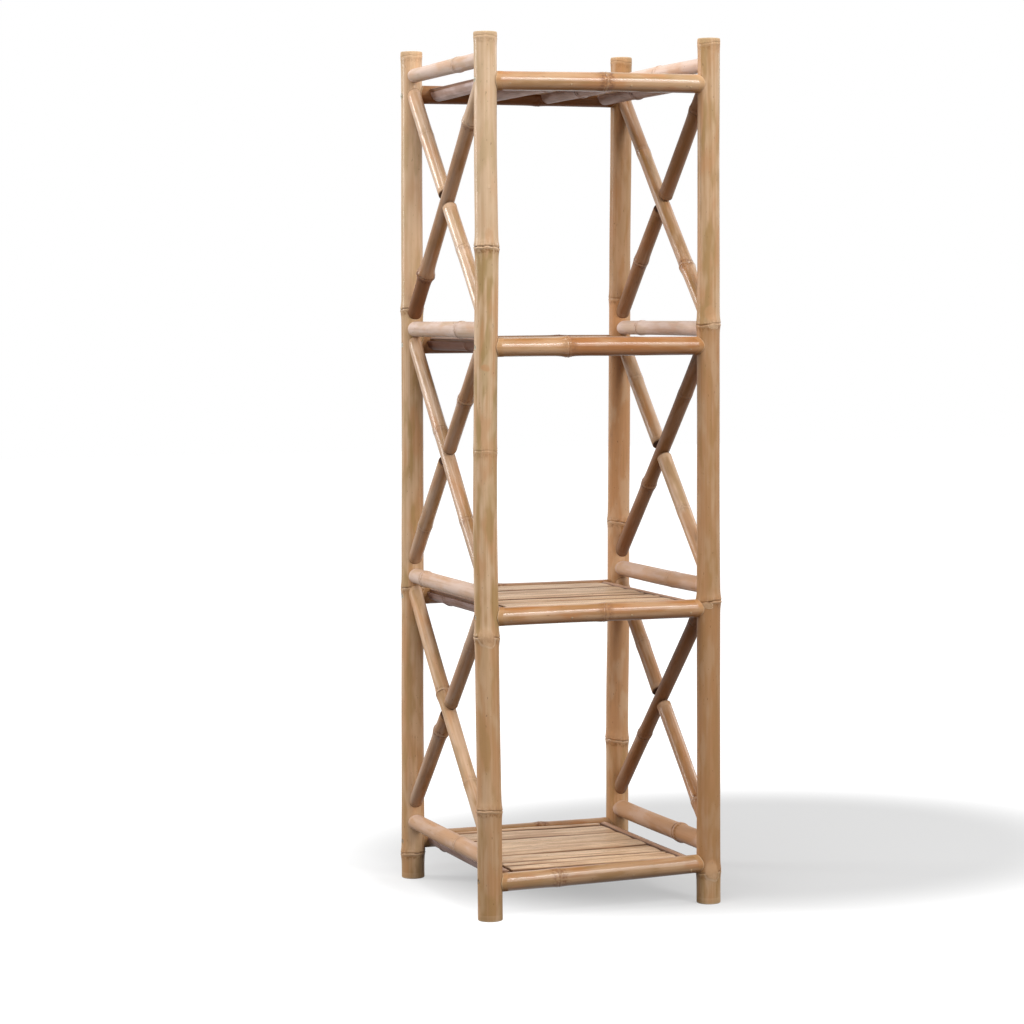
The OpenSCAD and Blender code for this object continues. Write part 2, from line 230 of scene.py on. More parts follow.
# %% [markdown]
# ## Floor, backdrop and light
#
# The shelf stands on plain white. White that comes from strong lamps would bleach the bamboo, so
# the floor and the world are simply white to the camera and much duller to everything else. What
# faces down on the shelf then stays dark, as in the photograph. Under the shelf and behind it the
# floor glows less, in a patch shaped like a soft shadow: a painted shadow, to which the lamps add
# the cast one. Round that patch it glows until it melts into the backdrop. Most lamps are wide and
# soft. The streak lamp is small and near instead, so it draws one crisp bright line along each
# shelf rail.

# %% Build the stage
FLOOR_SIZE = 24.0
FLOOR_TONE = 0.09
FLOOR_SHARE = 0.26
FLOOR_GLOW = 0.43
SHADOW_PLACE = (0.37, 0.21, 0.0)
SHADOW_HALVES = (0.6, 0.5)
SHADOW_FADE = (0.68, 1.3)
WORLD_LIGHT = 0.55


def background_rays(graph):
    """1 for the rays that see the white background: straight, mirrored or through glass."""
    outputs = ("Is Camera Ray", "Is Glossy Ray", "Is Transmission Ray")
    rays = [graph.node("ShaderNodeLightPath", output=name) for name in outputs]
    return rays[0].math("MAXIMUM", rays[0].math("MAXIMUM", rays[0], rays[1]), rays[2])


def floor_material():
    """A dull floor for the object's light; for the camera a white one with cast and painted shadow.
    """
    graph = Graph("white_floor")
    place = graph.node("ShaderNodeTexCoord", output="Object")
    inputs = {0: place, 1: SHADOW_PLACE}
    moved = graph.node("ShaderNodeVectorMath", {"operation": "SUBTRACT"}, inputs)
    moved = graph.stretched(moved, (1 / SHADOW_HALVES[0], 1 / SHADOW_HALVES[1], 1))
    away = graph.node("ShaderNodeVectorMath", {"operation": "LENGTH"}, {0: moved}, output="Value")
    camera_ray = graph.node("ShaderNodeLightPath", output="Is Camera Ray")
    tint = graph.mix(camera_ray, (FLOOR_TONE,) * 3 + (1,), (FLOOR_SHARE,) * 3 + (1,))
    matte = graph.node("ShaderNodeBsdfDiffuse", {}, {"Color": tint})
    # Painted shadow: the glow is least in a patch under and behind the shelf.
    strength = away.rise(*SHADOW_FADE) * (1 - FLOOR_GLOW) + FLOOR_GLOW
    glow = graph.node("ShaderNodeEmission", {}, {"Strength": background_rays(graph) * strength})
    both = graph.node("ShaderNodeAddShader", {}, {0: matte, 1: glow})
    graph.node("ShaderNodeOutputMaterial", {}, {"Surface": both})
    return graph.material


def make_floor():
    """A flat square on the ground."""
    half = FLOOR_SIZE / 2
    mesh = bpy.data.meshes.new("floor")
    corners = [(-half, -half, 0), (half, -half, 0), (half, half, 0), (-half, half, 0)]
    mesh.from_pydata(corners, [], [(0, 1, 2, 3)])
    mesh.materials.append(floor_material())
    made = bpy.data.objects.new("floor", mesh)
    scene.collection.objects.link(made)


def make_world():
    """An even sky: white to the camera, soft light to the shelf."""
    scene.world = bpy.data.worlds.new("studio")
    graph = Graph("studio", scene.world)
    strength = background_rays(graph) * (1 - WORLD_LIGHT) + WORLD_LIGHT
    sky = graph.node("ShaderNodeBackground", {}, {"Color": (1, 1, 1, 1), "Strength": strength})
    graph.node("ShaderNodeOutputWorld", {}, {"Surface": sky})


LAMP_AIM = Vector((0, 0, 0.6))
LAMPS = {
    "key_lamp": ((-1.65, -1.9, 2.15), (1.9, 1.9), 22),
    "top_lamp": ((-0.3, -0.4, 2.9), (1.0, 1.0), 17),
    "front_lamp": ((2.2, -5.6, 3.3), (1.5, 4.2), 125),
    "streak_lamp": ((0.95, -2.1, 2.1), (0.7, 0.4), 15),
    "left_lamp": ((-3.1, 2.0, 2.0), (0.9, 2.4), 82),
    "right_lamp": ((3.2, 0.6, 1.9), (1.0, 1.0), 24),
}


def soft_lamp(name, place, size, power):
    """An area lamp, so wide and so high, that faces the middle of the shelf."""
    data = bpy.data.lights.new(name, "AREA")
    data.shape = "RECTANGLE"
    data.size, data.size_y = size
    data.energy = power
    lamp = bpy.data.objects.new(name, data)
    lamp.location = place
    lamp.rotation_euler = (LAMP_AIM - Vector(place)).to_track_quat("-Z", "Y").to_euler()
    scene.collection.objects.link(lamp)


make_floor()
make_world()
for lamp_name, lamp_values in LAMPS.items():
    soft_lamp(lamp_name, *lamp_values)
print("stage ready,", len(LAMPS), "lamps")

# %% [markdown]
# ## Sizes that everything shares
#
# Heights and places are read from the construction, so that this script follows it. Only what
# makes this shelf hand-made is written here, such as how the posts taper.

# %% Read the construction's places


def middle(node):
    """Middle of a node's box, in millimetres."""
    low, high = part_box(node)
    return (np.array(low) + np.array(high)) / 2 / MM


TIERS = (1, 2, 3, 4)
BAYS = (1, 2, 3)
SIDES = {"left": -1, "right": 1}
ENDS = {"front": -1, "rear": 1}
post_x, post_y = middle("rear_right_post")[:2]
height = cad_box[1][2] / MM
tier_z = {k: middle(f"front_rail_{k}")[2] for k in TIERS}
side_z = {k: middle(f"left_rail_{k}")[2] for k in TIERS}
SOLID_RAIL_RADIUS = 12.5
POST_RADII = (16.4, 14.9)
RAIL_RADIUS = 12.4
print("posts at", round(post_x, 1), round(post_y, 1))
print("tiers at", [round(z, 1) for z in tier_z.values()])


def post_radius(z):
    """Radius of every post at a height: they are a little thicker at the foot."""
    return POST_RADII[0] + (POST_RADII[1] - POST_RADII[0]) * z / height


# %% [markdown]
# ## Culms that stray
#
# A culm grows straight only roughly. Each post here strays a few millimetres to one side, and the
# rails follow the posts that they are fixed to. Bending every piece by itself would open the
# joints. One smooth shift of the whole space, worked out from the four posts, moves everything
# alike: it is blended between the posts by how far left and how far to the rear a point lies.

# %% Shift the space between the posts
STRAY_DIRECTION = np.array([0.9375, -0.348, 0.0])
STRAYS = {
    (-1, -1): (
        (0, 215, 308, 533, 640, 760, 890, 1017, 1170),
        (0, -1.5, -2.6, -4.9, -4.2, -2.5, -0.7, -2, -1.5),
    ),
    (1, -1): ((0, 306, 600, 888, 1170), (0, 0, -0.6, -0.6, -0.4)),
    (-1, 1): ((0, 255, 540, 964, 1170), (-2.4, -1.7, 0.4, 2, 2.7)),
    (1, 1): (
        (0, 239, 327, 561, 677, 880, 995, 1170),
        (-3.9, -3.5, -1.8, -0.7, 0.6, 1.4, 2.9, 4.2),
    ),
}
STRAY_SOFTNESS = np.linspace(-45, 45, 7)


def stray(points):
    """Points in millimetres, shifted sideways as the posts near them stray.

    At each height the shift of a post is read from its two lists, heights and ways, and averaged
    over some way up and down. The four shifts are weighted by the share of the way to the right
    and to the rear.
    """
    right = np.clip((points[..., 0] / post_x + 1) / 2, 0, 1)
    rear = np.clip((points[..., 1] / post_y + 1) / 2, 0, 1)
    levels = [points[..., 2] + up for up in STRAY_SOFTNESS]
    shift = 0
    for (side, end), (heights, ways) in STRAYS.items():
        way = np.mean([np.interp(level, heights, ways) for level in levels], axis=0)
        weight = (right if side > 0 else 1 - right) * (rear if end > 0 else 1 - rear)
        shift = shift + weight * way
    return points + shift[..., None] * STRAY_DIRECTION


# %% [markdown]
# ## From grids to meshes
#
# Every new piece is a tube of some kind: a grid of points whose columns go round and whose rows go
# along, closed by a point at each end. Computed as whole arrays, such a grid needs no loop over
# its points. A piece may hold several tubes, as a deck holds its slats. Each point carries a few
# numbers for the material: its place in the grain; how far it is from a growth ring and how strong
# that ring's mark is; how far it is from a cut end, a scar and a bar's edge, and how dark that scar
# is; how deep, how warm and how dull the tube is; and how much the point faces the ground.

# %% Collect grids and build one object
FAR = 99.0
POINT_DATA = {
    "grain": ("FLOAT_VECTOR", (0, 0, 0)),
    "ring": ("FLOAT", FAR),
    "mark": ("FLOAT", 1.0),
    "cut": ("FLOAT", FAR),
    "scar": ("FLOAT", FAR),
    "shade": ("FLOAT", 0.5),
    "tone": ("FLOAT", 0.5),
    "hue": ("FLOAT", 0.0),
    "under": ("FLOAT", 0.0),
    "dull": ("FLOAT", 0.0),
    "edge": ("FLOAT", FAR),
}
SHARP_ANGLE = math.radians(38)


def stand_in(made, slot, *nodes):
    """Puts an object in the scene and lets it stand for its nodes; slot is not used."""
    scene.collection.objects.link(made)
    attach(made, "root")
    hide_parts(*nodes)
    return made


class Tubes:
    """Closed tubes that become one mesh."""

    def __init__(self):
        self.points, self.faces, self.finishes = [], [], []
        self.data = {name: [] for name in POINT_DATA}
        self.count = 0

    def add(self, grid, finish, **data):
        """Adds a tube from a grid of points in millimetres, rows by columns by 3.

        finish is the number of the material between each row and the next, and at the two ends.
        Quads join each point to its right and upper neighbours, and fans close the ends.
        """
        rows, columns = grid.shape[:2]
        own = np.arange(rows * columns).reshape(rows, columns) + self.count
        right = np.roll(own, -1, axis=1)
        first, last = self.count + rows * columns, self.count + rows * columns + 1
        quads = np.stack([own[:-1], right[:-1], right[1:], own[1:]], -1).reshape(-1, 4)
        self.faces += quads.tolist()
        self.faces += np.stack([right[0], own[0], np.full(columns, first)], -1).tolist()
        self.faces += np.stack([own[-1], right[-1], np.full(columns, last)], -1).tolist()
        between = np.broadcast_to(np.asarray(finish), rows + 1)
        self.finishes += [np.repeat(between[1:-1], columns), np.repeat(between[[0, -1]], columns)]
        ends = np.stack([grid[0].mean(axis=0), grid[-1].mean(axis=0)])
        self.points += [grid.reshape(-1, 3), ends]
        for name, (kind, rest) in POINT_DATA.items():
            shape = (rows, columns, 3) if kind == "FLOAT_VECTOR" else (rows, columns)
            values = np.broadcast_to(np.asarray(data.get(name, rest), float), shape)
            self.data[name] += [values.ravel(), values[[0, -1]].mean(axis=1).ravel()]
        self.count += rows * columns + 2

    def build(self, name, materials, slot, *nodes):
        """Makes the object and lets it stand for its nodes."""
        mesh = bpy.data.meshes.new(name)
        points = stray(np.concatenate(self.points)) * MM
        mesh.from_pydata(points.tolist(), [], self.faces)
        for key, (kind, _rest) in POINT_DATA.items():
            layer = mesh.attributes.new(key, kind, "POINT")
            field = "vector" if kind == "FLOAT_VECTOR" else "value"
            layer.data.foreach_set(field, np.concatenate(self.data[key]).astype(np.float32))
        for material in materials:
            mesh.materials.append(material)
        mesh.polygons.foreach_set("material_index", np.concatenate(self.finishes).astype(np.int32))
        mesh.shade_smooth()
        mesh.set_sharp_from_angle(angle=SHARP_ANGLE)
        mesh.update()
        return stand_in(bpy.data.objects.new(name, mesh), slot, *nodes)


print("mesh helpers ready")

# %% [markdown]
# ## The shape of a culm
#
# A culm is a tube that swells at its growth rings. Under each ring the fallen sheath leaves a thin
# raised lip, then comes a narrow groove and above it a rounded ridge. The relief is a sum of
# bell curves of the distance to the ring, and a weak ring has less of all of them. Rows of points
# lie close together where there is such detail and far apart where the culm is plain.

# %% Space the rows and shape a ring
FINE_STEP = 0.45
WIDE_STEP = 9.0
STEP_GROWTH = 0.2
ROW_SAMPLES = 5000


def rows_between(low, high, fine_places, reach):
    """Places along a culm, close together near the fine places.

    The step is least within reach of a fine place and grows with the distance beyond. Summing
    1 / step gives a row number for every place, and whole row numbers give the rows.
    """
    line = np.linspace(low, high, ROW_SAMPLES)
    away = np.min(np.abs(line[:, None] - np.asarray(fine_places)[None]), axis=1)
    step = np.clip(FINE_STEP + STEP_GROWTH * (away - reach), FINE_STEP, WIDE_STEP)
    number = np.concatenate([[0], np.cumsum(np.diff(line) / step[1:])])
    return np.interp(np.linspace(0, number[-1], math.ceil(number[-1]) + 1), number, line)


def bell(distance, width):
    """Bell curve: 1 at distance 0, falling to about a third at the width."""
    return np.exp(-((distance / width) ** 2))


def ring_relief(distance, plain=1.0):
    """Relief of a ring of strength 1: a swelling, a groove on its crest and a lip below that.

    Where plain is 0, as inside a scar, only the swelling is left.
    """
    swelling = 1.1 * bell(distance, 7.5) + 0.35 * bell(distance, 16)
    groove = 0.6 * bell(distance - 0.1, 0.55)
    lip = 0.45 * bell(distance + 2.0, 1.1)
    ridge = 0.2 * bell(distance - 2.2, 1.4)
    return swelling + plain * (lip + ridge - groove)


def smooth_step(value):
    """0 below 0, 1 above 1, and a smooth curve between."""
    part = np.clip(value, 0, 1)
    return part * part * (3 - 2 * part)


print("a ring stands", round(float(ring_relief(0.0)), 2), "mm proud on its line")

# %% [markdown]
# One class holds what makes a culm its own: its taper and oval section, slow waves, rings that
# waver as they go round, and scars where a branch or a sheath sat. What the photograph doesn't
# settle is drawn at random from the culm's own seed, so the shelf comes out the same each time. The
# class also tells the skin what lies near each point.

# %% Grow a culm
TONE_STRAY = 0.06
SCAR_POWER = 2.6


class Culm:
    """A grown stem between two points: its taper, rings, scars and slow unevenness.

    A ring is its place and strength. A scar is its place, angle, half width, half height, rise
    and shade, from 0 for pale to 1 for dark. Tones are pairs of how deep and how warm the skin is,
    one for the whole culm or one for each stretch between its rings; a depth below 0 is paler.
    Dull takes the gloss off the skin, and marks says how much colour the rings keep.
    """

    def __init__(
        self, start, end, radii, rings, seed, zero=(0, 0, 1), scars=(), tones=(0, 0), dull=0, marks=1
    ):
        self.start, self.end = np.array(start, float), np.array(end, float)
        self.length = np.linalg.norm(self.end - self.start)
        self.axis = (self.end - self.start) / self.length
        zero = np.array(zero, float)
        zero = zero - self.axis * (zero @ self.axis)
        self.zero = zero / np.linalg.norm(zero)
        self.other = np.cross(self.axis, self.zero)
        self.radii, self.rings, self.scars = radii, rings, scars
        self.dull, self.marks = dull, marks
        random = np.random.default_rng(seed)
        self.phases = random.uniform(0, 2 * np.pi, 12)
        self.offset = random.uniform(-4000, 4000, 3)
        self.upward = 1 if abs(self.axis[2]) > 0.99 else random.choice([-1, 1])
        stray_tones = random.uniform(-TONE_STRAY, TONE_STRAY, (len(rings) + 1, 2))
        self.tones = np.atleast_2d(tones) + stray_tones

    def outward(self, angle):
        """Unit vectors that point away from the axis."""
        return np.cos(angle)[..., None] * self.zero + np.sin(angle)[..., None] * self.other

    def from_rings(self, along, angle):
        """Distance and strength of every ring, whose line wavers and sags a little."""
        p = self.phases
        waver = 1.0 * np.sin(angle + p[0]) + 0.42 * np.sin(3 * angle + p[1])
        waver = (waver + 0.2 * np.sin(8 * angle + p[2])) * self.radii[0] / RAIL_RADIUS
        return [(self.upward * (along - place - waver), strength) for place, strength in self.rings]

    def from_scar(self, along, angle, scar):
        """Distance to the middle of a scar, 1 at its outline, which is a rounded rectangle.

        That is the SCAR_POWER root of the sum of that power of the two distances, each as a share
        of the scar's half size. Slow waves of the one along the other keep the outline uneven.
        """
        place, turn, wide, tall = scar[:4]
        away = np.angle(np.exp(1j * (angle - turn))) * self.radii[0]
        over = along - place
        away = away + 0.1 * wide * np.sin(over * 3 / tall + self.phases[7])
        over = over + 0.12 * tall * np.sin(away * 3 / wide + self.phases[8])
        far = np.abs(away / wide) ** SCAR_POWER + np.abs(over / tall) ** SCAR_POWER
        return far ** (1 / SCAR_POWER)

    def radius(self, along, angle):
        """Taper, oval section and slow waves, with the relief of the rings and scars."""
        p = self.phases
        share = along / self.length
        result = self.radii[0] + (self.radii[1] - self.radii[0]) * share
        result = result * (1 + 0.012 * np.cos(2 * (angle - p[3])))
        result = result + 0.14 * np.sin(along / 61 + 2 * angle + p[4])
        result = result + 0.1 * np.sin(along / 37 - 3 * angle + p[5])
        plain = smooth_step((self.scar_data(along, angle)[0] - 0.8) / 0.3)
        for distance, strength in self.from_rings(along, angle):
            uneven = 1 + 0.25 * np.sin(2 * angle + p[6])
            result = result + strength * uneven * ring_relief(distance, plain)
        for scar in self.scars:
            far = self.from_scar(along, angle, scar)
            outline = 0.22 * (1 - scar[5]) * bell(far - 1, 0.16)
            result = result + scar[4] * (smooth_step((1.15 - far) / 0.3) + outline)
        return result

    def ring_data(self, along, angle):
        """Signed distance to the nearest ring, far where there is none, and that ring's strength.

        Half-way between two rings the sign flips. The distance grows steeply out there, so that
        the face on which it flips passes zero far too quickly to show a line.
        """
        near, mark = np.full(along.shape, FAR), np.zeros(along.shape)
        for distance, strength in self.from_rings(along, angle):
            mark = np.where(np.abs(distance) < np.abs(near), strength, mark)
            near = np.where(np.abs(distance) < np.abs(near), distance, near)
        return near * (1 + (near / 22) ** 4), mark * self.marks

    def tone_data(self, along):
        """Depth and warmth, which change from one stretch to the next across a ring."""
        result = np.zeros(along.shape + (2,)) + self.tones[0]
        for (place, _strength), step in zip(self.rings, np.diff(self.tones, axis=0)):
            result = result + smooth_step((along - place) / 4 + 0.5)[..., None] * step
        return result[..., 0], result[..., 1]

    def scar_data(self, along, angle):
        """Distance to the nearest scar, and its shade."""
        shape = np.broadcast(along, angle).shape
        near, shade = np.full(shape, FAR), np.full(shape, 0.5)
        for scar in self.scars:
            far = self.from_scar(along, angle, scar)
            shade = np.where(far < near, scar[5], shade)
            near = np.minimum(far, near)
        return near, shade


def cope(along, offset, other_axis, other_radius):
    """Where a line that runs along one culm comes out of another that it crosses.

    The line starts at offset from the crossing of the axes. Flattened along the other axis, it
    meets the other culm's circle where |offset + t * along| is the radius: the larger root t.
    """
    flat_along = along - other_axis * (along @ other_axis)
    flat_offset = offset - (offset @ other_axis)[..., None] * other_axis
    a = flat_along @ flat_along
    b = flat_offset @ flat_along
    c = np.sum(flat_offset**2, axis=-1) - other_radius**2
    return (-b + np.sqrt(np.maximum(b * b - a * c, 0))) / a


print("culms can grow")

# %% [markdown]
# A culm's grid starts inside the bore of its lower end, comes out over the cut, rounds the edge,
# runs along the skin and goes back into the bore at the other end. A coped end isn't flat: each
# column is cut where it meets the post, and the rows next to it lean over until they are square to
# the culm again.

# %% Cut a culm to length and add it to a piece
SKIN, CUT_WOOD, BORE = 0, 1, 2
UPRIGHT = (0, 0, 1)
COPE_GAP = 0.25
BLEND_WAY = 38.0
RING_REACH = 5.0
EDGE_TURNS = 5
EDGE_ROUNDING = 0.9
BORE_DEPTHS = (70.0, 70.0)


def square_cut(angle, radius):
    """A straight cut at the very end."""
    return np.zeros(np.broadcast(angle, radius).shape)


def coped_cut(culm, sign, other_axis, other_radius, least=0.0):
    """The cut of an end that sits on another culm: sign is 1 at the start and -1 at the end."""

    def cut(angle, radius):
        offset = culm.outward(angle) * np.asarray(radius)[..., None]
        way = cope(sign * culm.axis, offset, np.array(other_axis, float), other_radius + COPE_GAP)
        return np.maximum(way, least)

    return cut


def post_cut(culm, sign):
    """The cut of an end that sits on a post: sign is 1 at the start and -1 at the end."""
    place = culm.start if sign > 0 else culm.end
    return coped_cut(culm, sign, UPRIGHT, post_radius(place[2]))


def bowed(culm, amount):
    """A slow bow to one side, none at the ends and most in the middle."""
    lean = culm.outward(np.array([culm.phases[6]]))[0]

    def bend(along):
        return (amount * np.sin(np.pi * np.clip(along / culm.length, 0, 1)))[..., None] * lean

    return bend


def add_culm(
    tubes,
    culm,
    angles,
    cuts,
    bore,
    bend=None,
    dent=None,
    edge=EDGE_ROUNDING,
    bore_depths=BORE_DEPTHS,
    fine=(),
):
    """Adds one culm, with close rows at its rings, its scars and the fine places.

    cuts are functions of angle and radius that give the length cut away at either end. bend is a
    sideways shift for each length, and dent moves the points round a hole.
    """
    angle = angles[None, :]
    turns = np.linspace(0, np.pi / 2, EDGE_TURNS)[:, None]

    def end_rows(cut, at_end):
        """Rows from the bore's floor to the rounded edge, as length from this end and radius."""
        full = culm.radius(np.full(angle.shape, at_end * culm.length), angle)
        full = culm.radius(np.abs(at_end * culm.length - cut(angle, full)), angle)
        radius = full - edge * (1 - np.sin(turns))
        rounded = cut(np.broadcast_to(angle, radius.shape), radius) + edge * (1 - np.cos(turns))
        inside = np.full(angle.shape, bore / 2)
        floor_row = np.full(angle.shape, bore_depths[at_end])
        way = np.concatenate([floor_row, cut(angle, inside), rounded])
        return way, np.concatenate([inside, inside, radius])

    low_way, low_radius = end_rows(cuts[0], 0)
    high_way, high_radius = end_rows(cuts[1], 1)
    low_lean, high_lean = low_way[-1], high_way[-1]
    low, high = low_lean.mean(), culm.length - high_lean.mean()
    places = [ring[0] for ring in culm.rings] + [scar[0] for scar in culm.scars] + list(fine)
    rows = rows_between(low, high, places, RING_REACH)[1:-1, None]
    low_share = 1 - smooth_step((rows - low) / BLEND_WAY)
    high_share = 1 - smooth_step((high - rows) / BLEND_WAY)
    along = rows + (low_lean - low) * low_share
    along = along - (high_lean - (culm.length - high)) * high_share
    turned = np.broadcast_to(angle, along.shape)
    cut_away = np.minimum(along - low_lean, culm.length - high_lean - along)
    depth = 0
    if dent is not None:
        along, turned, depth = dent(along, turned)
    radius = culm.radius(along, turned) - depth
    along = np.concatenate([low_way, along, culm.length - high_way[::-1]])
    radius = np.concatenate([low_radius, radius, high_radius[::-1]])
    end_turned = np.broadcast_to(angle, low_way.shape)
    turned = np.concatenate([end_turned, turned, end_turned])
    uncut = np.zeros_like(low_way)
    scar, shade = culm.scar_data(along, turned)
    tone, hue = culm.tone_data(along)
    ring, mark = culm.ring_data(along, turned)
    outward = culm.outward(turned)
    grid = culm.start + along[..., None] * culm.axis + radius[..., None] * outward
    if bend is not None:
        grid = grid + bend(along)
    grain = np.stack([np.cos(turned) * radius, np.sin(turned) * radius, along], -1) + culm.offset
    finish = np.full(len(along) + 1, SKIN)
    finish[:2] = finish[-2:] = BORE
    finish[2:4] = finish[-4:-2] = CUT_WOOD
    tubes.add(
        grid,
        finish,
        grain=grain,
        ring=ring,
        mark=mark,
        cut=np.concatenate([uncut, cut_away, uncut]),
        scar=scar,
        shade=shade,
        tone=tone,
        hue=hue,
        under=-outward[..., 2],
        dull=culm.dull,
    )


print("culms can be cut")

# %% [markdown]
# ## Bamboo skin
#
# The skin is varnished and full of fibres that run along the culm. Noises of several sizes, each
# stretched along the grain, give hair-fine lines, broad streaks and slow patches that lean to
# olive or to orange. Around a ring there is a broken dark line, a pale band and brown mottling, all
# fainter where the ring is weak. Near a coped end the varnish is sanded away, which leaves a matte,
# paler collar. Each culm's tone makes it deeper, or paler below 0; on some culms it is partly
# painted light and shade. Painted shade also deepens the side of a pole that faces the ground. An
# image of bamboo would repeat from culm to culm, but noise read at a different place on each culm
# never does.

# %% Make the skins
LINE_BROWN = colour(92, 60, 36)
CUT_PALE = colour(206, 180, 146)


def bamboo_skin(
    name, body, pale, deep, warm, olive, gloss, rough, mottle=0.5, spread=2.5, underside_shade=0.0, rim=CUT_PALE
):
    """Varnished bamboo skin in five colours.

    gloss and rough are the varnish, mottle and spread the strength and width of the brown round a
    ring, sag how much painted shade deepens the side that faces the ground, and rim the colour of
    the very edge of a cut, which on the braces is a dark painted shadow line.
    """
    graph = Graph(name)
    grain = graph.attribute("grain", "Vector")
    ring, cut, scar = graph.attribute("ring"), graph.attribute("cut"), graph.attribute("scar")
    shade, tone = graph.attribute("shade"), graph.attribute("tone")
    mark, dull = graph.attribute("mark"), graph.attribute("dull")
    hair = graph.noise(grain, (1.3, 1.3, 0.014), 3.0, 0.6)
    streak = graph.noise(grain, (0.21, 0.21, 0.0045), 3.0, 0.5)
    patch = graph.noise(grain, (0.06, 0.06, 0.017), 2.0, 0.5)
    second = graph.noise(grain, (0.07, 0.07, 0.013), 3.0, 0.5)
    vein = graph.noise(grain, (0.26, 0.26, 0.008), 2.0, 0.5)
    fleck = graph.noise(grain, (0.5, 0.5, 0.16), 1.0, 0.5)
    blot = graph.noise(grain, (0.32, 0.32, 0.2), 3.0, 0.6)
    # The plain skin: streaks, patches and fibres
    tint = graph.mix(streak.rise(0.34, 0.66), pale, body)
    tint = graph.mix(patch.rise(0.46, 0.64) * 0.55, tint, warm)
    tint = graph.mix(second.rise(0.46, 0.62) * 0.8, tint, olive)
    tint = graph.mix(graph.attribute("hue"), tint, warm)
    tint = graph.mix(hair.rise(0.45, 0.8) * 0.18, tint, deep)
    tint = graph.mix(vein.rise(0.56, 0.74) * 0.2, tint, deep)
    tint = graph.mix((1 - patch.rise(0.36, 0.5)) * 0.4, tint, pale)
    # The culm's tone, on some culms partly painted light and shade; painted shade on the side that
    # faces the ground; and flecks
    tint = graph.mix(tone * -0.9, tint, pale)
    tint = graph.mix(tone * 0.85, tint, deep)
    tint = graph.mix(graph.attribute("under").rise(0.2, 0.95) * underside_shade, tint, deep)
    tint = graph.mix(fleck.rise(0.72, 0.78) * 0.45, tint, LINE_BROWN)
    # Rings: mottling, the pale lip, a shadow below it and the line
    mottled = ring.near(-1.5, spread, spread + 8) * blot.rise(0.34, 0.64) * mark
    tint = graph.mix(mottled * mottle, tint, deep)
    outside = scar.rise(0.85, 1.1)
    ridge = ring.near(-2.2, 0.9, 2.6) * (blot.rise(0.36, 0.6) * 0.6 + 0.1) * (1 - tone) * mark
    tint = graph.mix(ridge * outside, tint, pale)
    tint = graph.mix(ring.near(-6.0, 1.0, 4.5) * blot.rise(0.46, 0.6) * mark * 0.6, tint, deep)
    line = ring.near(0.1, 0.4, 1.6) * (second.rise(0.42, 0.6) * 0.6 + 0.1) * mark
    tint = graph.mix(line * outside, tint, LINE_BROWN)
    # Scars: pale or warm inside, with a pale lip
    inside = 1 - (scar + blot * 0.3).rise(0.8, 1.25)
    tint = graph.mix(inside * (1 - shade) * 0.6, tint, pale)
    tint = graph.mix(inside * shade * (blot.rise(0.3, 0.6) * 0.3 + 0.5), tint, warm)
    lip = scar.near(1.04, 0.03, 0.18) * (1 - ring.rise(-3.0, 0.0)) * (1 - shade)
    tint = graph.mix(lip * blot.rise(0.3, 0.5), tint, pale)
    # Ends: the sanded collar and the rim of the cut, on the braces a dark painted shadow line
    sanded = 1 - (cut + hair * 1.2).rise(7.4, 8.6)
    tint = graph.mix(sanded * (1 - tone) * 0.3, tint, pale)
    tint = graph.mix((1 - cut.rise(0.1, 1.5)) * 0.6, tint, rim)
    relief = graph.bump(0.12, hair * 0.5 + streak * 0.6 + blot * 0.25)
    return graph.surface(
        {
            "Base Color": tint,
            "Roughness": hair * 0.2 + sanded * 0.2 + rough,
            "Specular IOR Level": 0.12,
            "Coat Weight": (1 - sanded) * (1 - tone) * (1 - dull) * gloss,
            "Coat Roughness": 0.2,
            "Coat IOR": 1.5,
            "Normal": relief,
        }
    )


POST_SKIN = bamboo_skin(
    "post_skin",
    body=colour(188, 152, 110),
    pale=colour(218, 186, 152),
    deep=colour(144, 102, 64),
    warm=colour(196, 144, 98),
    olive=colour(166, 138, 88),
    gloss=0.25,
    rough=0.42,
)
SHELF_RAIL_SKIN = bamboo_skin(
    "shelf_rail_skin",
    body=colour(188, 144, 100),
    pale=colour(208, 170, 130),
    deep=colour(118, 72, 38),
    warm=colour(186, 116, 50),
    olive=colour(168, 132, 84),
    gloss=1.0,
    rough=0.4,
    mottle=1.6,
    spread=7.0,
    # painted shade on the side that faces the ground
    underside_shade=0.6,
)
SIDE_RAIL_SKIN = bamboo_skin(
    "side_rail_skin",
    body=colour(212, 184, 166),
    pale=colour(222, 200, 188),
    deep=colour(148, 104, 62),
    warm=colour(202, 156, 116),
    olive=colour(202, 176, 152),
    gloss=0.1,
    rough=0.46,
    mottle=0.6,
)
BRACE_SKIN = bamboo_skin(
    "brace_skin",
    body=colour(190, 150, 112),
    pale=colour(212, 180, 150),
    deep=colour(104, 62, 38),
    warm=colour(188, 130, 76),
    olive=colour(162, 126, 80),
    gloss=0.8,
    rough=0.45,
    mottle=0.4,
    # painted shade on the side that faces the ground
    underside_shade=0.25,
    # painted shadow: a dark line at the braces' cut edges, where they meet what they sit on
    rim=LINE_BROWN,
)
# The battens' pale greyish pink is partly painted light: the glow of the white floor on their
# undersides.
BATTEN_SKIN = bamboo_skin(
    "batten_skin",
    body=colour(206, 178, 168),
    pale=colour(234, 212, 208),
    deep=colour(100, 60, 38),
    warm=colour(186, 150, 130),
    olive=colour(184, 158, 146),
    gloss=0.15,
    rough=0.5,
)
print("skins ready")
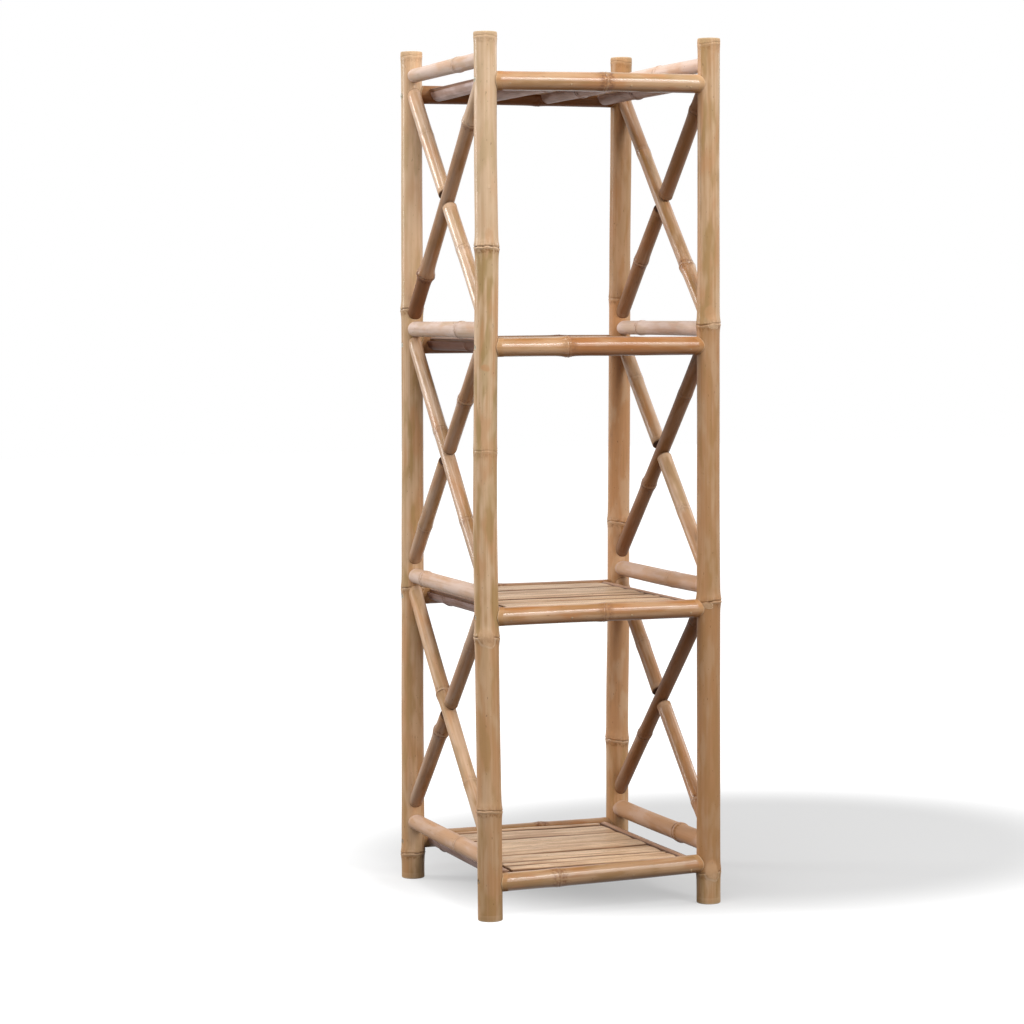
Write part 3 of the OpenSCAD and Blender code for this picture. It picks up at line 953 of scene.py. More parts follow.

# %% [markdown]
# A sawn end shows the culm's wall: pale wood with the brown dots of the fibre bundles. The braces'
# cut faces are all painted dark instead, as painted shade for the dark gaps beside their crossings.
# Inside, the bore is lined with a thin papery film.

# %% Make the cut wood and the bore


def cut_wood(name, light, dark):
    """Wood between two colours with brown fibre bundles."""
    graph = Graph(name)
    grain = graph.attribute("grain", "Vector")
    dots = graph.node(
        "ShaderNodeTexVoronoi",
        {},
        {"Vector": graph.stretched(grain, (1.6, 1.6, 0.15)), "Scale": 1.0},
        output="Distance",
    )
    cloud = graph.noise(grain, (0.3, 0.3, 0.3))
    tint = graph.mix(cloud.rise(0.35, 0.65), light, dark)
    tint = graph.mix((1 - dots.rise(0.12, 0.3)) * 0.7, tint, LINE_BROWN)
    return graph.surface({"Base Color": tint, "Roughness": cloud * 0.2 + 0.6})


def bore_lining():
    """Papery lining of the hollow."""
    graph = Graph("bore_lining")
    grain = graph.attribute("grain", "Vector")
    fibre = graph.noise(grain, (0.9, 0.9, 0.05), 3.0)
    tint = graph.mix(fibre.rise(0.35, 0.7), colour(206, 182, 146), colour(150, 118, 82))
    return graph.surface({"Base Color": tint, "Roughness": fibre * 0.2 + 0.65})


CUT_BAMBOO = cut_wood("cut_bamboo", colour(212, 186, 150), colour(190, 156, 116))
# Painted shade: the braces' cut faces are dark, for the shade in the gaps beside the crossings.
SHADED_BRACE_CUT = cut_wood("painted_shade_cut_bamboo", colour(92, 62, 42), colour(62, 40, 26))
BORE_LINING = bore_lining()
print("cut wood ready")

# %% [markdown]
# ## Posts
#
# Each post stands on a sawn foot and is cut just above a ring at its top, so the ring's inner wall
# closes it. The hollow of its foot ends at the wall of the lowest ring. A shelf screw goes in
# through a small round hole on the outer side at every tier. A Boolean could cut the holes, but it
# would tear up the even grid. The columns lie closer together on that side instead, points near a
# hole are pulled on to its rim, and those inside sink.

# %% Raise the posts
POST_BORE = 21.0
POST_EDGE = 1.0
TOP_RING_DROP = 6.6
TOP_RING_STRENGTH = 0.4
WALL_DROP = 4.0
TOP_BORE_DEPTH = 5.0
SCREW_RIM = 4.0
SCREW_FLOOR = 3.6
SCREW_PULL = 0.5
SCREW_DEPTH = 2.8
SCREW_COLUMNS = 19
PLAIN_COLUMNS = 46
SCREW_HALF_ANGLE = 0.34
POST_SEED = 11
POST_RINGS = {
    ("left", "front"): ((147.4, 0.9), (377.9, 1.0), (623.6, 0.35), (890.4, 1.1)),
    ("right", "front"): ((44.0, 0.7), (414.2, 1.1), (788.6, 0.9)),
    ("left", "rear"): ((36.3, 0.9), (416.5, 0.8), (810.8, 1.0)),
    ("right", "rear"): ((181.4, 1.0), (500.8, 0.9), (823.7, 0.7)),
}
POST_SCARS = {
    ("left", "front"): (
        (378.5, 1.26, 11.0, 12.0, 0.35, 0.35),
        (905.0, 1.5, 7.0, 11.0, 0.12, 0.55),
        (733.0, 1.2, 7.0, 5.0, 0.1, 0.9),
        (968.0, 1.5, 1.4, 2.2, 0.3, 0.0),
    ),
    ("right", "front"): (
        (46.0, 4.58, 9.5, 13.0, 0.7, 0.4),
        (802.0, 4.5, 9.0, 11.5, 0.15, 0.7),
        (785.5, 4.73, 6.0, 3.4, 0.3, 0.0),
        (409.0, 4.2, 7.0, 4.0, 0.15, 0.1),
    ),
    ("left", "rear"): ((424.0, 1.2, 6.0, 6.0, 0.2, 0.6),),
    ("right", "rear"): ((190.0, 4.4, 6.0, 7.0, 0.2, 0.6), (832.0, 4.8, 5.0, 5.0, 0.2, 0.5)),
}
# The stretches' tones are partly the culms' own colour and partly painted light and shade: three
# posts are paler towards the top and deeper towards the foot, as the light falls from above, and the
# rear right post is deeper at its top, where it stands in shade.
POST_TONES_AND_SHADING = {
    ("left", "front"): (
        (0.35, 0.3),
        (0.15, 0.45),
        (0.05, 0.15),
        (0.05, 0.0),
        (-0.55, 0.0),
        (-0.4, 0.0),
    ),
    ("right", "front"): ((0.35, 0.3), (0.5, 0.7), (0.45, 0.5), (0.1, 0.15), (0.05, 0.1)),
    ("left", "rear"): ((0.35, 0.2), (0.15, 0.4), (0.15, 0.2), (-0.45, 0.1), (-0.3, 0.1)),
    ("right", "rear"): ((0.1, 0.5), (-0.1, 0.85), (0.05, 0.95), (0.4, 0.5), (0.3, 0.5)),
}


def post_angles():
    """Column angles: close together round the screw side at angle 0, wider elsewhere."""
    close = np.linspace(-SCREW_HALF_ANGLE, SCREW_HALF_ANGLE, SCREW_COLUMNS)
    wide = np.linspace(SCREW_HALF_ANGLE, 2 * np.pi - SCREW_HALF_ANGLE, PLAIN_COLUMNS)[1:-1]
    return np.concatenate([close, wide])


def screw_dents(places, radius):
    """Round holes: points near a rim are pulled on to it, and points inside sink."""
    half_way = (SCREW_FLOOR + SCREW_RIM) / 2

    def dent(along, angle):
        depth = np.zeros(along.shape)
        signed = np.angle(np.exp(1j * angle))
        for place in places:
            across, up = signed * radius, along - place
            far = np.maximum(np.hypot(across, up), 1e-6)
            to_floor = (far > SCREW_FLOOR - SCREW_PULL) & (far <= half_way)
            to_rim = (far > half_way) & (far < SCREW_RIM + SCREW_PULL)
            snapped = np.where(to_rim, SCREW_RIM, np.where(to_floor, SCREW_FLOOR, far))
            near = far < SCREW_RIM + SCREW_PULL
            signed = np.where(near, signed * snapped / far, signed)
            along = np.where(near, place + up * snapped / far, along)
            depth = np.where(near & (snapped <= SCREW_FLOOR), SCREW_DEPTH, depth)
        return along, signed, depth

    return dent


def make_post(side, end, seed):
    """One corner post, upright, with angle 0 facing out to the left or right."""
    x, y = SIDES[side] * post_x, ENDS[end] * post_y
    rings = POST_RINGS[side, end] + ((height - TOP_RING_DROP, TOP_RING_STRENGTH),)
    outside, scars, tones = (SIDES[side], 0, 0), POST_SCARS[side, end], POST_TONES_AND_SHADING[side, end]
    culm = Culm((x, y, 0), (x, y, height), POST_RADII, rings, seed, outside, scars, tones)
    screws = [tier_z[k] for k in TIERS]
    tubes = Tubes()
    add_culm(
        tubes,
        culm,
        post_angles(),
        (square_cut, square_cut),
        POST_BORE,
        dent=screw_dents(screws, post_radius(height / 2)),
        edge=POST_EDGE,
        bore_depths=(rings[0][0] - WALL_DROP, TOP_BORE_DEPTH),
        fine=screws,
    )
    node = f"{end}_{side}_post"
    return tubes.build(f"{node}_culm", (POST_SKIN, CUT_BAMBOO, BORE_LINING), "post_bamboo", node)


for number, (side, end) in enumerate(POST_RINGS):
    made = make_post(side, end, POST_SEED + number)
    print(made.name, len(made.data.polygons), "faces")

# %% [markdown]
# ## Rails
#
# The rails are thinner culms whose ends are coped: hollowed like a fish's mouth so that they hug
# the round posts. The shelf rails run left to right at deck height and the side rails front to
# rear a little higher. Each is its own culm, so one table holds what sets each apart: its ring, its
# tones, and where it matters its thickness, how high its ends sit and how faint its ring is.

# %% Fit the rails between the posts
RAIL_COLUMNS = np.linspace(0, 2 * np.pi, 48, endpoint=False)
RAIL_TAPER = (1.01, 0.99)
RAIL_BOW = 0.7
SHELF_RAIL_SEED, SIDE_RAIL_SEED = 30, 60
SHELF_RAIL_BORE = 15.0
SIDE_RAIL_BORE = 11.0
SHELF_KIND = (SHELF_RAIL_BORE, SHELF_RAIL_SKIN, "shelf_rail_bamboo")
SIDE_KIND = (SIDE_RAIL_BORE, SIDE_RAIL_SKIN, "side_rail_bamboo")
# Tones here are mostly the culms' own colour. The deeper tones of the rear rails, most at tiers 3 and
# 4, are painted shade, as those rails lie in the shade of the decks.
RAILS = {
    "front_rail_1": {"ring": (0.297, 0.4), "tones": (0.3, 0.05), "lifts": (-3, 2.8)},
    "front_rail_2": {"ring": (0.518, 0.6), "tones": (0.2, 0.35), "marks": 0.4},
    "front_rail_3": {"ring": (0.354, 1.0), "tones": ((0.05, 0.3), (0.28, 0.72)), "marks": 0.2},
    "front_rail_4": {
        "ring": (0.523, 0.5),
        "tones": ((0.27, 0.2), (0.15, 0.05)),
        "lifts": (-0.9, 1.5),
    },
    "rear_rail_1": {"ring": (0.621, 0.6), "tones": (0.35, 0.1), "lifts": (2, 2.5)},
    "rear_rail_2": {"ring": (0.41, 0.5), "tones": (0.4, 0.1)},
    "rear_rail_3": {"ring": (0.7, 0.6), "tones": (0.8, 0.0)},
    "rear_rail_4": {"ring": (0.595, 0.5), "tones": (0.85, 0.0), "lifts": (2.6, 2.6)},
    "left_rail_1": {"ring": (0.338, 0.5), "tones": (0.25, 0.7), "radius": 11.4},
    "left_rail_2": {"ring": (0.8, 0.6), "tones": (0.1, 0.3), "radius": 10.6},
    "left_rail_3": {"ring": (0.301, 0.8), "tones": (0.12, -0.1), "radius": 10.8},
    "left_rail_4": {"ring": (0.329, 0.6), "tones": (0.08, -0.1), "radius": 9.9},
    "right_rail_1": {"ring": (0.285, 1.3), "tones": (0.5, 0.8), "radius": 12.2},
    "right_rail_2": {"ring": (0.361, 0.3), "tones": (0.2, 0.5), "radius": 11.0},
    "right_rail_3": {"ring": (0.723, 0.7), "tones": (-0.2, -0.1), "radius": 10.0},
    "right_rail_4": {"ring": (0.55, 0.6), "tones": (-0.1, 0.0), "radius": 10.0},
}


def make_rail(node, start, end, kind, seed, ring, tones, lifts=(0, 0), radius=RAIL_RADIUS, marks=1):
    """One rail from post axis to post axis, coped at both ends.

    ring is its place, as a share of the length, and its strength. lifts raise the two ends.
    """
    start = np.array(start, float) + (0, 0, lifts[0])
    end = np.array(end, float) + (0, 0, lifts[1])
    share, strength = ring
    rings = ((share * np.linalg.norm(end - start), strength),)
    radii = tuple(radius * part for part in RAIL_TAPER)
    culm = Culm(start, end, radii, rings, seed, tones=tones, marks=marks)
    bore, skin, slot = kind
    tubes = Tubes()
    cuts = (post_cut(culm, 1), post_cut(culm, -1))
    add_culm(tubes, culm, RAIL_COLUMNS, cuts, bore, bowed(culm, RAIL_BOW))
    return tubes.build(f"{node}_culm", (skin, CUT_BAMBOO, BORE_LINING), slot, node)


for k in TIERS:
    for end, sign in ENDS.items():
        node, seed = f"{end}_rail_{k}", SHELF_RAIL_SEED + k + 10 * sign
        y, z = sign * post_y, tier_z[k]
        make_rail(node, (-post_x, y, z), (post_x, y, z), SHELF_KIND, seed, **RAILS[node])
    for side, sign in SIDES.items():
        node, seed = f"{side}_rail_{k}", SIDE_RAIL_SEED + k + 10 * sign
        x, z = sign * post_x, side_z[k]
        make_rail(node, (x, -post_y, z), (x, post_y, z), SIDE_KIND, seed, **RAILS[node])
print(len(RAILS), "rails fitted")

# %% [markdown]
# ## Braces
#
# In each bay of a side frame one brace runs right through and two half braces butt against it, so
# that all three lie in one plane. The half braces' ends are cut carelessly short at the tips,
# which leaves small gaps beside the crossing, and all the braces' cut faces are painted dark as
# painted shade in such gaps. Their tones are partly their own colour and partly painted shade:
# the braces that rise to the front, whose seen side faces the ground, are deeper.

# %% Cross the braces
BRACE_COLUMNS = np.linspace(0, 2 * np.pi, 40, endpoint=False)
BRACE_BORE = 8.0
BRACE_RADIUS = 9.9
BRACE_BOW = 0.5
BRACE_TOP_DROPS = {1: 10, 2: 8, 3: 16}
BRACE_FOOT_LIFTS = {1: 18, 2: 14, 3: 11}
CLIMBS = {"left": {1: 1, 2: 1, 3: -1}, "right": {1: -1, 2: -1, 3: 1}}
TIP_TRIMS = {"upper": 12.0, "lower": 11.5}
BRACE_SEED = 200
HALF_SEEDS = {"upper": 100, "lower": 101}
# Tones here are partly the culms' own colour and partly painted shade: the braces that rise to the
# front, whose seen side faces the ground, are given deeper ones.
BRACES = {
    "left_through_brace_1": {
        "rings": ((0.22, 0.25), (0.557, 0.8)),
        "tones": ((-0.15, 0.1), (-0.15, 0.1), (-0.1, 0.1)),
        "dull": 0.85,
    },
    "left_upper_brace_1": {"rings": ((0.6, 0.3),), "tones": (0.45, 0.3)},
    "left_lower_brace_1": {"rings": ((0.21, 1.0),), "tones": (0.45, 0.3)},
    "left_through_brace_2": {
        "rings": ((0.24, 0.3), (0.6, 0.4)),
        "tones": ((0.35, 0.1), (0.3, 0.1), (0.1, 0.1)),
    },
    "left_upper_brace_2": {"rings": ((0.48, 0.9),), "tones": (0.45, 0.3)},
    "left_lower_brace_2": {"rings": ((0.62, 0.4),), "tones": (0.25, 0.2)},
    "left_through_brace_3": {
        "rings": ((0.19, 0.7), (0.8, 1.5)),
        "tones": ((-0.2, 0.1), (0.45, 0.3), (0.9, 0.5)),
    },
    "left_upper_brace_3": {"rings": ((0.55, 0.2),), "tones": (-0.3, -0.1)},
    "left_lower_brace_3": {"rings": ((0.41, 0.4),), "tones": (-0.3, -0.1)},
    "right_through_brace_1": {"rings": ((0.13, 0.4), (0.68, 0.8)), "tones": (0.75, 0.3)},
    "right_upper_brace_1": {"rings": ((0.42, 0.3),), "tones": (0.4, 0.3), "dull": 0.6},
    "right_lower_brace_1": {"rings": ((0.8, 0.8),), "tones": (0.3, 0.5)},
    "right_through_brace_2": {"rings": ((0.25, 0.3), (0.65, 0.9)), "tones": (0.75, 0.25)},
    "right_upper_brace_2": {"rings": ((0.6, 0.3),), "tones": (0.1, 0.2)},
    "right_lower_brace_2": {"rings": ((0.5, 0.3),), "tones": (-0.2, -0.1), "dull": 0.7},
    "right_through_brace_3": {
        "rings": ((0.22, 0.9), (0.72, 0.4)),
        "tones": ((0.1, 0.0), (0.15, 0.1), (0.4, 0.1)),
    },
    "right_upper_brace_3": {"rings": ((0.74, 0.6),), "tones": (0.75, 0.25)},
    "right_lower_brace_3": {"rings": ((0.48, 0.8),), "tones": (0.75, 0.25)},
}


def brace_line(side, bay, climb):
    """Front and rear end of a brace's axis; climb is 1 if it rises to the rear."""
    x = SIDES[side] * post_x
    foot = side_z[bay] + BRACE_FOOT_LIFTS[bay]
    top = side_z[bay + 1] - BRACE_TOP_DROPS[bay]
    front, rear = (foot, top) if climb > 0 else (top, foot)
    return np.array([x, -post_y, front]), np.array([x, post_y, rear])


def brace_culm(node, start, end, seed):
    """The culm of one brace; the places of its rings are shares of its length."""
    own = BRACES[node]
    length = np.linalg.norm(end - start)
    rings = tuple((share * length, strength) for share, strength in own["rings"])
    radii = (BRACE_RADIUS, BRACE_RADIUS)
    return Culm(start, end, radii, rings, seed, tones=own["tones"], dull=own.get("dull", 0))


def make_brace(node, culm, cuts):
    """One brace as an object."""
    tubes = Tubes()
    add_culm(tubes, culm, BRACE_COLUMNS, cuts, BRACE_BORE, bowed(culm, BRACE_BOW))
    return tubes.build(f"{node}_culm", (BRACE_SKIN, SHADED_BRACE_CUT, BORE_LINING), "brace_bamboo", node)


def make_bay(side, bay, seed):
    """The through brace of one bay, and the two halves that butt against it."""
    climb = CLIMBS[side][bay]
    front, rear = brace_line(side, bay, climb)
    node = f"{side}_through_brace_{bay}"
    through = brace_culm(node, front, rear, seed)
    make_brace(node, through, (post_cut(through, 1), post_cut(through, -1)))
    crossing = (front + rear) / 2
    lower_tip, upper_tip = sorted(brace_line(side, bay, -climb), key=lambda tip: tip[2])
    for part, tip in (("upper", upper_tip), ("lower", lower_tip)):
        node = f"{side}_{part}_brace_{bay}"
        half = brace_culm(node, crossing, tip, seed + HALF_SEEDS[part])
        inner_cut = coped_cut(half, 1, through.axis, BRACE_RADIUS, TIP_TRIMS[part])
        make_brace(node, half, (inner_cut, post_cut(half, -1)))


for side, sign in SIDES.items():
    for bay in BAYS:
        make_bay(side, bay, BRACE_SEED + 10 * bay + sign)
print(len(BRACES), "braces crossed")

# %% [markdown]
# ## Split wood for the decks
#
# The decks are split bamboo with the skin planed off: matte, light and finely lined along the
# length. One finish serves slats and end strips in two tones. The colour differs a little from
# slat to slat, which comes from the tone that each tube carries. Painted shade darkens the wood
# along the seams and at the cut ends.

# %% Make the split wood


def split_wood(name, body, pale, deep):
    """Planed bamboo, its fibres along the length."""
    graph = Graph(name)
    grain = graph.attribute("grain", "Vector")
    tone, cut = graph.attribute("tone"), graph.attribute("cut")
    hair = graph.noise(grain, (2.2, 1.2, 0.02), 3.0, 0.6)
    streak = graph.noise(grain, (0.35, 0.35, 0.006), 2.0, 0.5)
    crack = graph.noise(grain, (0.45, 0.45, 0.011), 2.0, 0.5)
    patch = graph.noise(grain, (0.08, 0.08, 0.012), 2.0, 0.5)
    fleck = graph.noise(grain, (0.8, 0.8, 0.3), 1.0, 0.5)
    tint = graph.mix(streak.rise(0.35, 0.65), pale, body)
    tint = graph.mix(tone * 0.4, tint, body)
    tint = graph.mix(hair.rise(0.45, 0.75) * 0.45, tint, deep)
    tint = graph.mix(streak.rise(0.58, 0.7) * 0.6, tint, deep)
    tint = graph.mix(crack.near(0.56, 0.006, 0.03) * 0.65, tint, LINE_BROWN)
    tint = graph.mix(patch.rise(0.5, 0.62) * 0.5, tint, deep)
    tint = graph.mix(fleck.rise(0.7, 0.76) * 0.5, tint, LINE_BROWN)
    # Painted shade: the wood darkens towards the bar's edges, into the seams, and is darkest on its
    # sides and underside.
    seam_shade = graph.attribute("edge") + streak * 3 - 1.5
    tint = graph.mix((1 - seam_shade.rise(0.4, 6.0)) * 0.75, tint, deep)
    tint = graph.mix((1 - seam_shade.rise(-0.2, 1.4)) * 0.85, tint, LINE_BROWN)
    # Painted shade: the bar darkens at its cut ends, in the gaps there.
    tint = graph.mix((1 - cut.rise(0.4, 2.6)) * 0.9, tint, LINE_BROWN)
    relief = graph.bump(0.3, hair * 0.6 + streak * 0.5)
    rough, coat = hair * 0.2 + 0.5, hair * 0.1
    return graph.surface(
        {"Base Color": tint, "Roughness": rough, "Coat Weight": coat, "Normal": relief}
    )


SLAT_WOOD = split_wood(
    "slat_wood", colour(214, 176, 136), colour(238, 208, 174), colour(162, 118, 80)
)
STRIP_WOOD = split_wood(
    "strip_wood", colour(200, 158, 126), colour(216, 180, 152), colour(142, 98, 68)
)
print("split wood ready")

# %% [markdown]
# ## Slats and end strips
#
# Each slat is a flat bar with rounded edges and an arched upper face, as the outer side of a split
# culm is. Its section is a fixed outline of points that say how far out and up each one lies. Its
# two edges and its height are functions of the length, which the next cell gives.

# %% Shape a bar
SLAT_THICKNESS = 5.0
PLANK_EDGE = 1.2
PLANK_CROWN = 1.1
CROWN_DROP = 0.8
PLANK_ROWS = 56
PLANK_INSET = 2
END_STEPS = np.array([0, 0.4, 1.0])
END_SHRINK = np.array([1, 0.35, 0])
END_THINNING = 0.6
EDGE_POINTS, FACE_POINTS, UNDER_POINTS = 4, 12, 7
LOW_END_RUN = 1.5
UPPER_FACE = 0.9
PATTERN_REACH = 3000


def plank_section():
    """Outline of a bar: shares across, 1 for its upper half, and the roundings out and up."""
    turn = np.linspace(0, np.pi / 2, EDGE_POINTS)
    across = np.linspace(-1, 1, FACE_POINTS)
    under = np.linspace(1, -1, UNDER_POINTS)
    edge, face, below = np.ones(EDGE_POINTS), np.ones(FACE_POINTS), np.ones(UNDER_POINTS)
    flat = np.concatenate([under, -edge, across, edge])
    level = np.concatenate([-below, edge, face, edge])
    out = np.concatenate([np.zeros(UNDER_POINTS), -np.cos(turn), np.zeros(FACE_POINTS), np.sin(turn)])
    up = np.concatenate([-below, np.sin(turn), face, np.cos(turn)])
    return flat, level, out, up


def add_plank(tubes, low, high, edges, top, lift, along_y, seed):
    """Adds a bar from low to high.

    edges gives its two edges, and lift how high its upper face lies, as functions of the length.
    The arch of the upper face is a parabola across it.
    """
    random = np.random.default_rng(seed)
    offset = random.uniform(-PATTERN_REACH, PATTERN_REACH, 3)
    tone = random.uniform(0, 1)
    flat, level, out, up = plank_section()
    inner = np.linspace(low + PLANK_INSET, high - PLANK_INSET, PLANK_ROWS)
    length = np.concatenate([low + END_STEPS, inner, high - END_STEPS[::-1]])[:, None]
    shrink = np.concatenate([END_SHRINK, np.zeros(PLANK_ROWS), END_SHRINK[::-1]])[:, None]
    shrink = PLANK_EDGE * shrink
    first, second = edges(length)
    centre, half = (first + second) / 2, np.abs(second - first) / 2 - shrink
    arch = (PLANK_CROWN * (1 - flat**2) - CROWN_DROP + lift(length)) * (level > 0)
    side = centre + (half - PLANK_EDGE) * flat + PLANK_EDGE * out
    tall = SLAT_THICKNESS / 2 - shrink * END_THINNING
    z = top - SLAT_THICKNESS / 2 + (tall - PLANK_EDGE) * level + PLANK_EDGE * up + arch
    run = np.broadcast_to(length, side.shape)
    grid = np.stack([-side, run, z] if along_y else [run, side, z], -1)
    grain = np.stack([side, z, run], -1) + offset
    edge = (half - np.abs(side - centre)) * (level * up > UPPER_FACE)
    cut = np.minimum(run - low + LOW_END_RUN, high - run)
    tubes.add(grid, 0, grain=grain, cut=cut, edge=edge, tone=tone)


print("bar outline of", len(plank_section()[0]), "points")

# %% [markdown]
# A slat's width, the skew of its edges and the gap to the next one vary, because split culms are
# never alike. A straight saw cut between slats would look like floorboards. So each seam is a line
# with a sum of slow sines, and a second sum opens and closes its gap. Both neighbours read the same
# seam, so they can't overlap.

# %% Lay the decks
SLAT_PARTS = (17, 59, 65, 50, 48, 22, 31)
SEAM_SKEWS = (-5, -3, 4, 8, 1, 5)
DECK_DROP = 2.0
DECK_CLEAR = 0.6
END_STRAY = 0.7
SEAM_SEED, STRAY_SEED, SLAT_SEED, WAVE_SEED, STRIP_SEED = 700, 800, 900, 1000, 1100
LEFT_STRAY_SHARE, LEFT_TRIM, RIGHT_TRIM = 0.3, 0.3, 2.2
slat_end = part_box("slats_1")[1][0] / MM
deck_y = post_y - SOLID_RAIL_RADIUS - DECK_CLEAR
strip_in, strip_out = (corner[0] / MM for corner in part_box("right_end_strip_1"))


def deck_top(k):
    """Height of the flat upper face that the construction gives the deck of tier k."""
    return tier_z[k] + SOLID_RAIL_RADIUS - DECK_DROP


def slat_seams(k):
    """Middle places and skews of tier k's seams; each tier starts at another slat."""
    turn = 2 * (k - 1)
    parts = np.roll(SLAT_PARTS, -turn)
    places = deck_y * (1 - 2 * np.concatenate([[0], np.cumsum(parts)]) / sum(SLAT_PARTS))
    skews = np.concatenate([[0], np.roll(SEAM_SKEWS, -turn), [0]])
    return places, skews


def wavy_seam(place, skew, seed):
    """A seam's depth as a function of x, and half the gap there: each a sum of sines."""
    phases = np.random.default_rng(seed).uniform(0, 2 * np.pi, 5)

    def seam(x):
        wave = 1.7 * np.sin(x / 41 + phases[0]) + 0.7 * np.sin(x / 16 + phases[1])
        wave = wave + 0.25 * np.sin(x / 7 + phases[4])
        gap = 1.5 + 1.2 * np.sin(x / 38 + phases[2]) + 0.6 * np.sin(x / 11 + phases[3])
        return place + skew * x / (2 * slat_end) + wave, np.clip(gap, 0.25, 3.0) / 2

    return seam


def slat_lift(k, i, x):
    """How high slat i of tier k lies at x: each one lies a little higher or lower, or twisted."""
    return 0.4 * np.sin(2.3 * i + k) + 0.35 * np.sin(x / 90 + 1.7 * i + 2 * k)


def slat_edges(rear, front):
    """The front and rear edge of the slat between two seams, as a function of x."""

    def edges(x):
        (front_place, front_gap), (rear_place, rear_gap) = front(x), rear(x)
        return front_place + front_gap, rear_place - rear_gap

    return edges


def make_deck(k):
    """The slats of one tier as one object."""
    tubes = Tubes()
    places, skews = slat_seams(k)
    first = SEAM_SEED + 10 * k
    seams = [wavy_seam(*seam, first + i) for i, seam in enumerate(zip(places, skews))]
    random = np.random.default_rng(STRAY_SEED + k)
    strays = random.uniform(-END_STRAY, END_STRAY, (len(SLAT_PARTS), 2))
    for i, (left, right) in enumerate(strays):
        low = LEFT_STRAY_SHARE * left - slat_end + LEFT_TRIM
        high = right + slat_end - RIGHT_TRIM
        edges, lift = slat_edges(seams[i], seams[i + 1]), partial(slat_lift, k, i)
        seed = SLAT_SEED + 10 * k + i
        add_plank(tubes, low, high, edges, deck_top(k), lift, False, seed)
    return tubes.build(f"slats_{k}_deck", (SLAT_WOOD,), "slat_bamboo", f"slats_{k}")


def make_strip(side, k):
    """One end strip, which runs front to rear beside the slats' ends."""
    sign = SIDES[side]
    centre, half = sign * (strip_in + strip_out) / 2, (strip_out - strip_in) / 2
    phase = np.random.default_rng(WAVE_SEED + k + 10 * sign).uniform(0, 2 * np.pi, 2)

    def edges(y):
        """The two edges across, as the bar's own sideways places, which run against x."""
        wave = 0.5 * np.sin(y / 50 + phase[0]) + 0.2 * np.sin(y / 19 + phase[1])
        return -centre - half + wave, -centre + half + wave

    tubes = Tubes()
    seed = STRIP_SEED + k + 10 * sign
    add_plank(tubes, -deck_y, deck_y, edges, deck_top(k), np.zeros_like, True, seed)
    node = f"{side}_end_strip_{k}"
    return tubes.build(f"{node}_bar", (STRIP_WOOD,), "strip_bamboo", node)


for k in TIERS:
    made = make_deck(k)
    for side in SIDES:
        make_strip(side, k)
    print(made.name, len(made.data.polygons), "faces")

# %% [markdown]
# ## Battens
#
# Under each deck four half culms run front to rear, split side up, and carry the slats. Their
# outline is half a circle closed by a flat top with a shallow groove where the hollow was. The
# ends are hollowed to fit the round shelf rails.

# %% Set the battens
BATTENS = 4
BATTEN_RADIUS = 12.3
SOLID_BATTEN_RADIUS = 12.5
ROUND_POINTS, FLAT_POINTS = 25, 17
FLAT_REACH, FLAT_EDGE = 0.93, 0.9
ROUND_DROP, EDGE_DROP = 0.02, 0.005
PITH_HALF = 3.0
PITH_DEPTH = 2.2
BATTEN_SINK = 0.1
BATTEN_END_GAP = 0.6
BATTEN_RING_REACH = 110
BATTEN_RING_STRENGTH = 0.8
BATTEN_TONE_STRAY = 0.1
BATTEN_SEED = 1200
BATTEN_SKEWS = {4: (6.0, -5.0, 0.0, 1.5)}
# Painted shade: the battens of the three lower decks get deep tones, deepest at tier 3, as they lie
# in the shade under the decks.
BATTEN_SHADE_TONES = {1: 0.7, 2: 0.7, 3: 1.05, 4: 0.15}
batten_end_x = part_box("battens_1")[1][0] / MM - SOLID_BATTEN_RADIUS
batten_x = np.linspace(-1, 1, BATTENS) * batten_end_x


def batten_section():
    """Half-round outline: angles of the round side, then the grooved flat from side to side."""
    turn = np.linspace(np.pi, 2 * np.pi, ROUND_POINTS)
    round_x, round_z = np.cos(turn), np.sin(turn)
    flat_x = np.linspace(FLAT_REACH, -FLAT_REACH, FLAT_POINTS)
    groove = -PITH_DEPTH / BATTEN_RADIUS * bell(flat_x * BATTEN_RADIUS, PITH_HALF)
    rise = np.where(np.abs(flat_x) > FLAT_EDGE, -EDGE_DROP, 0.0)
    return np.concatenate([round_x, flat_x]), np.concatenate([round_z - ROUND_DROP, groove + rise])


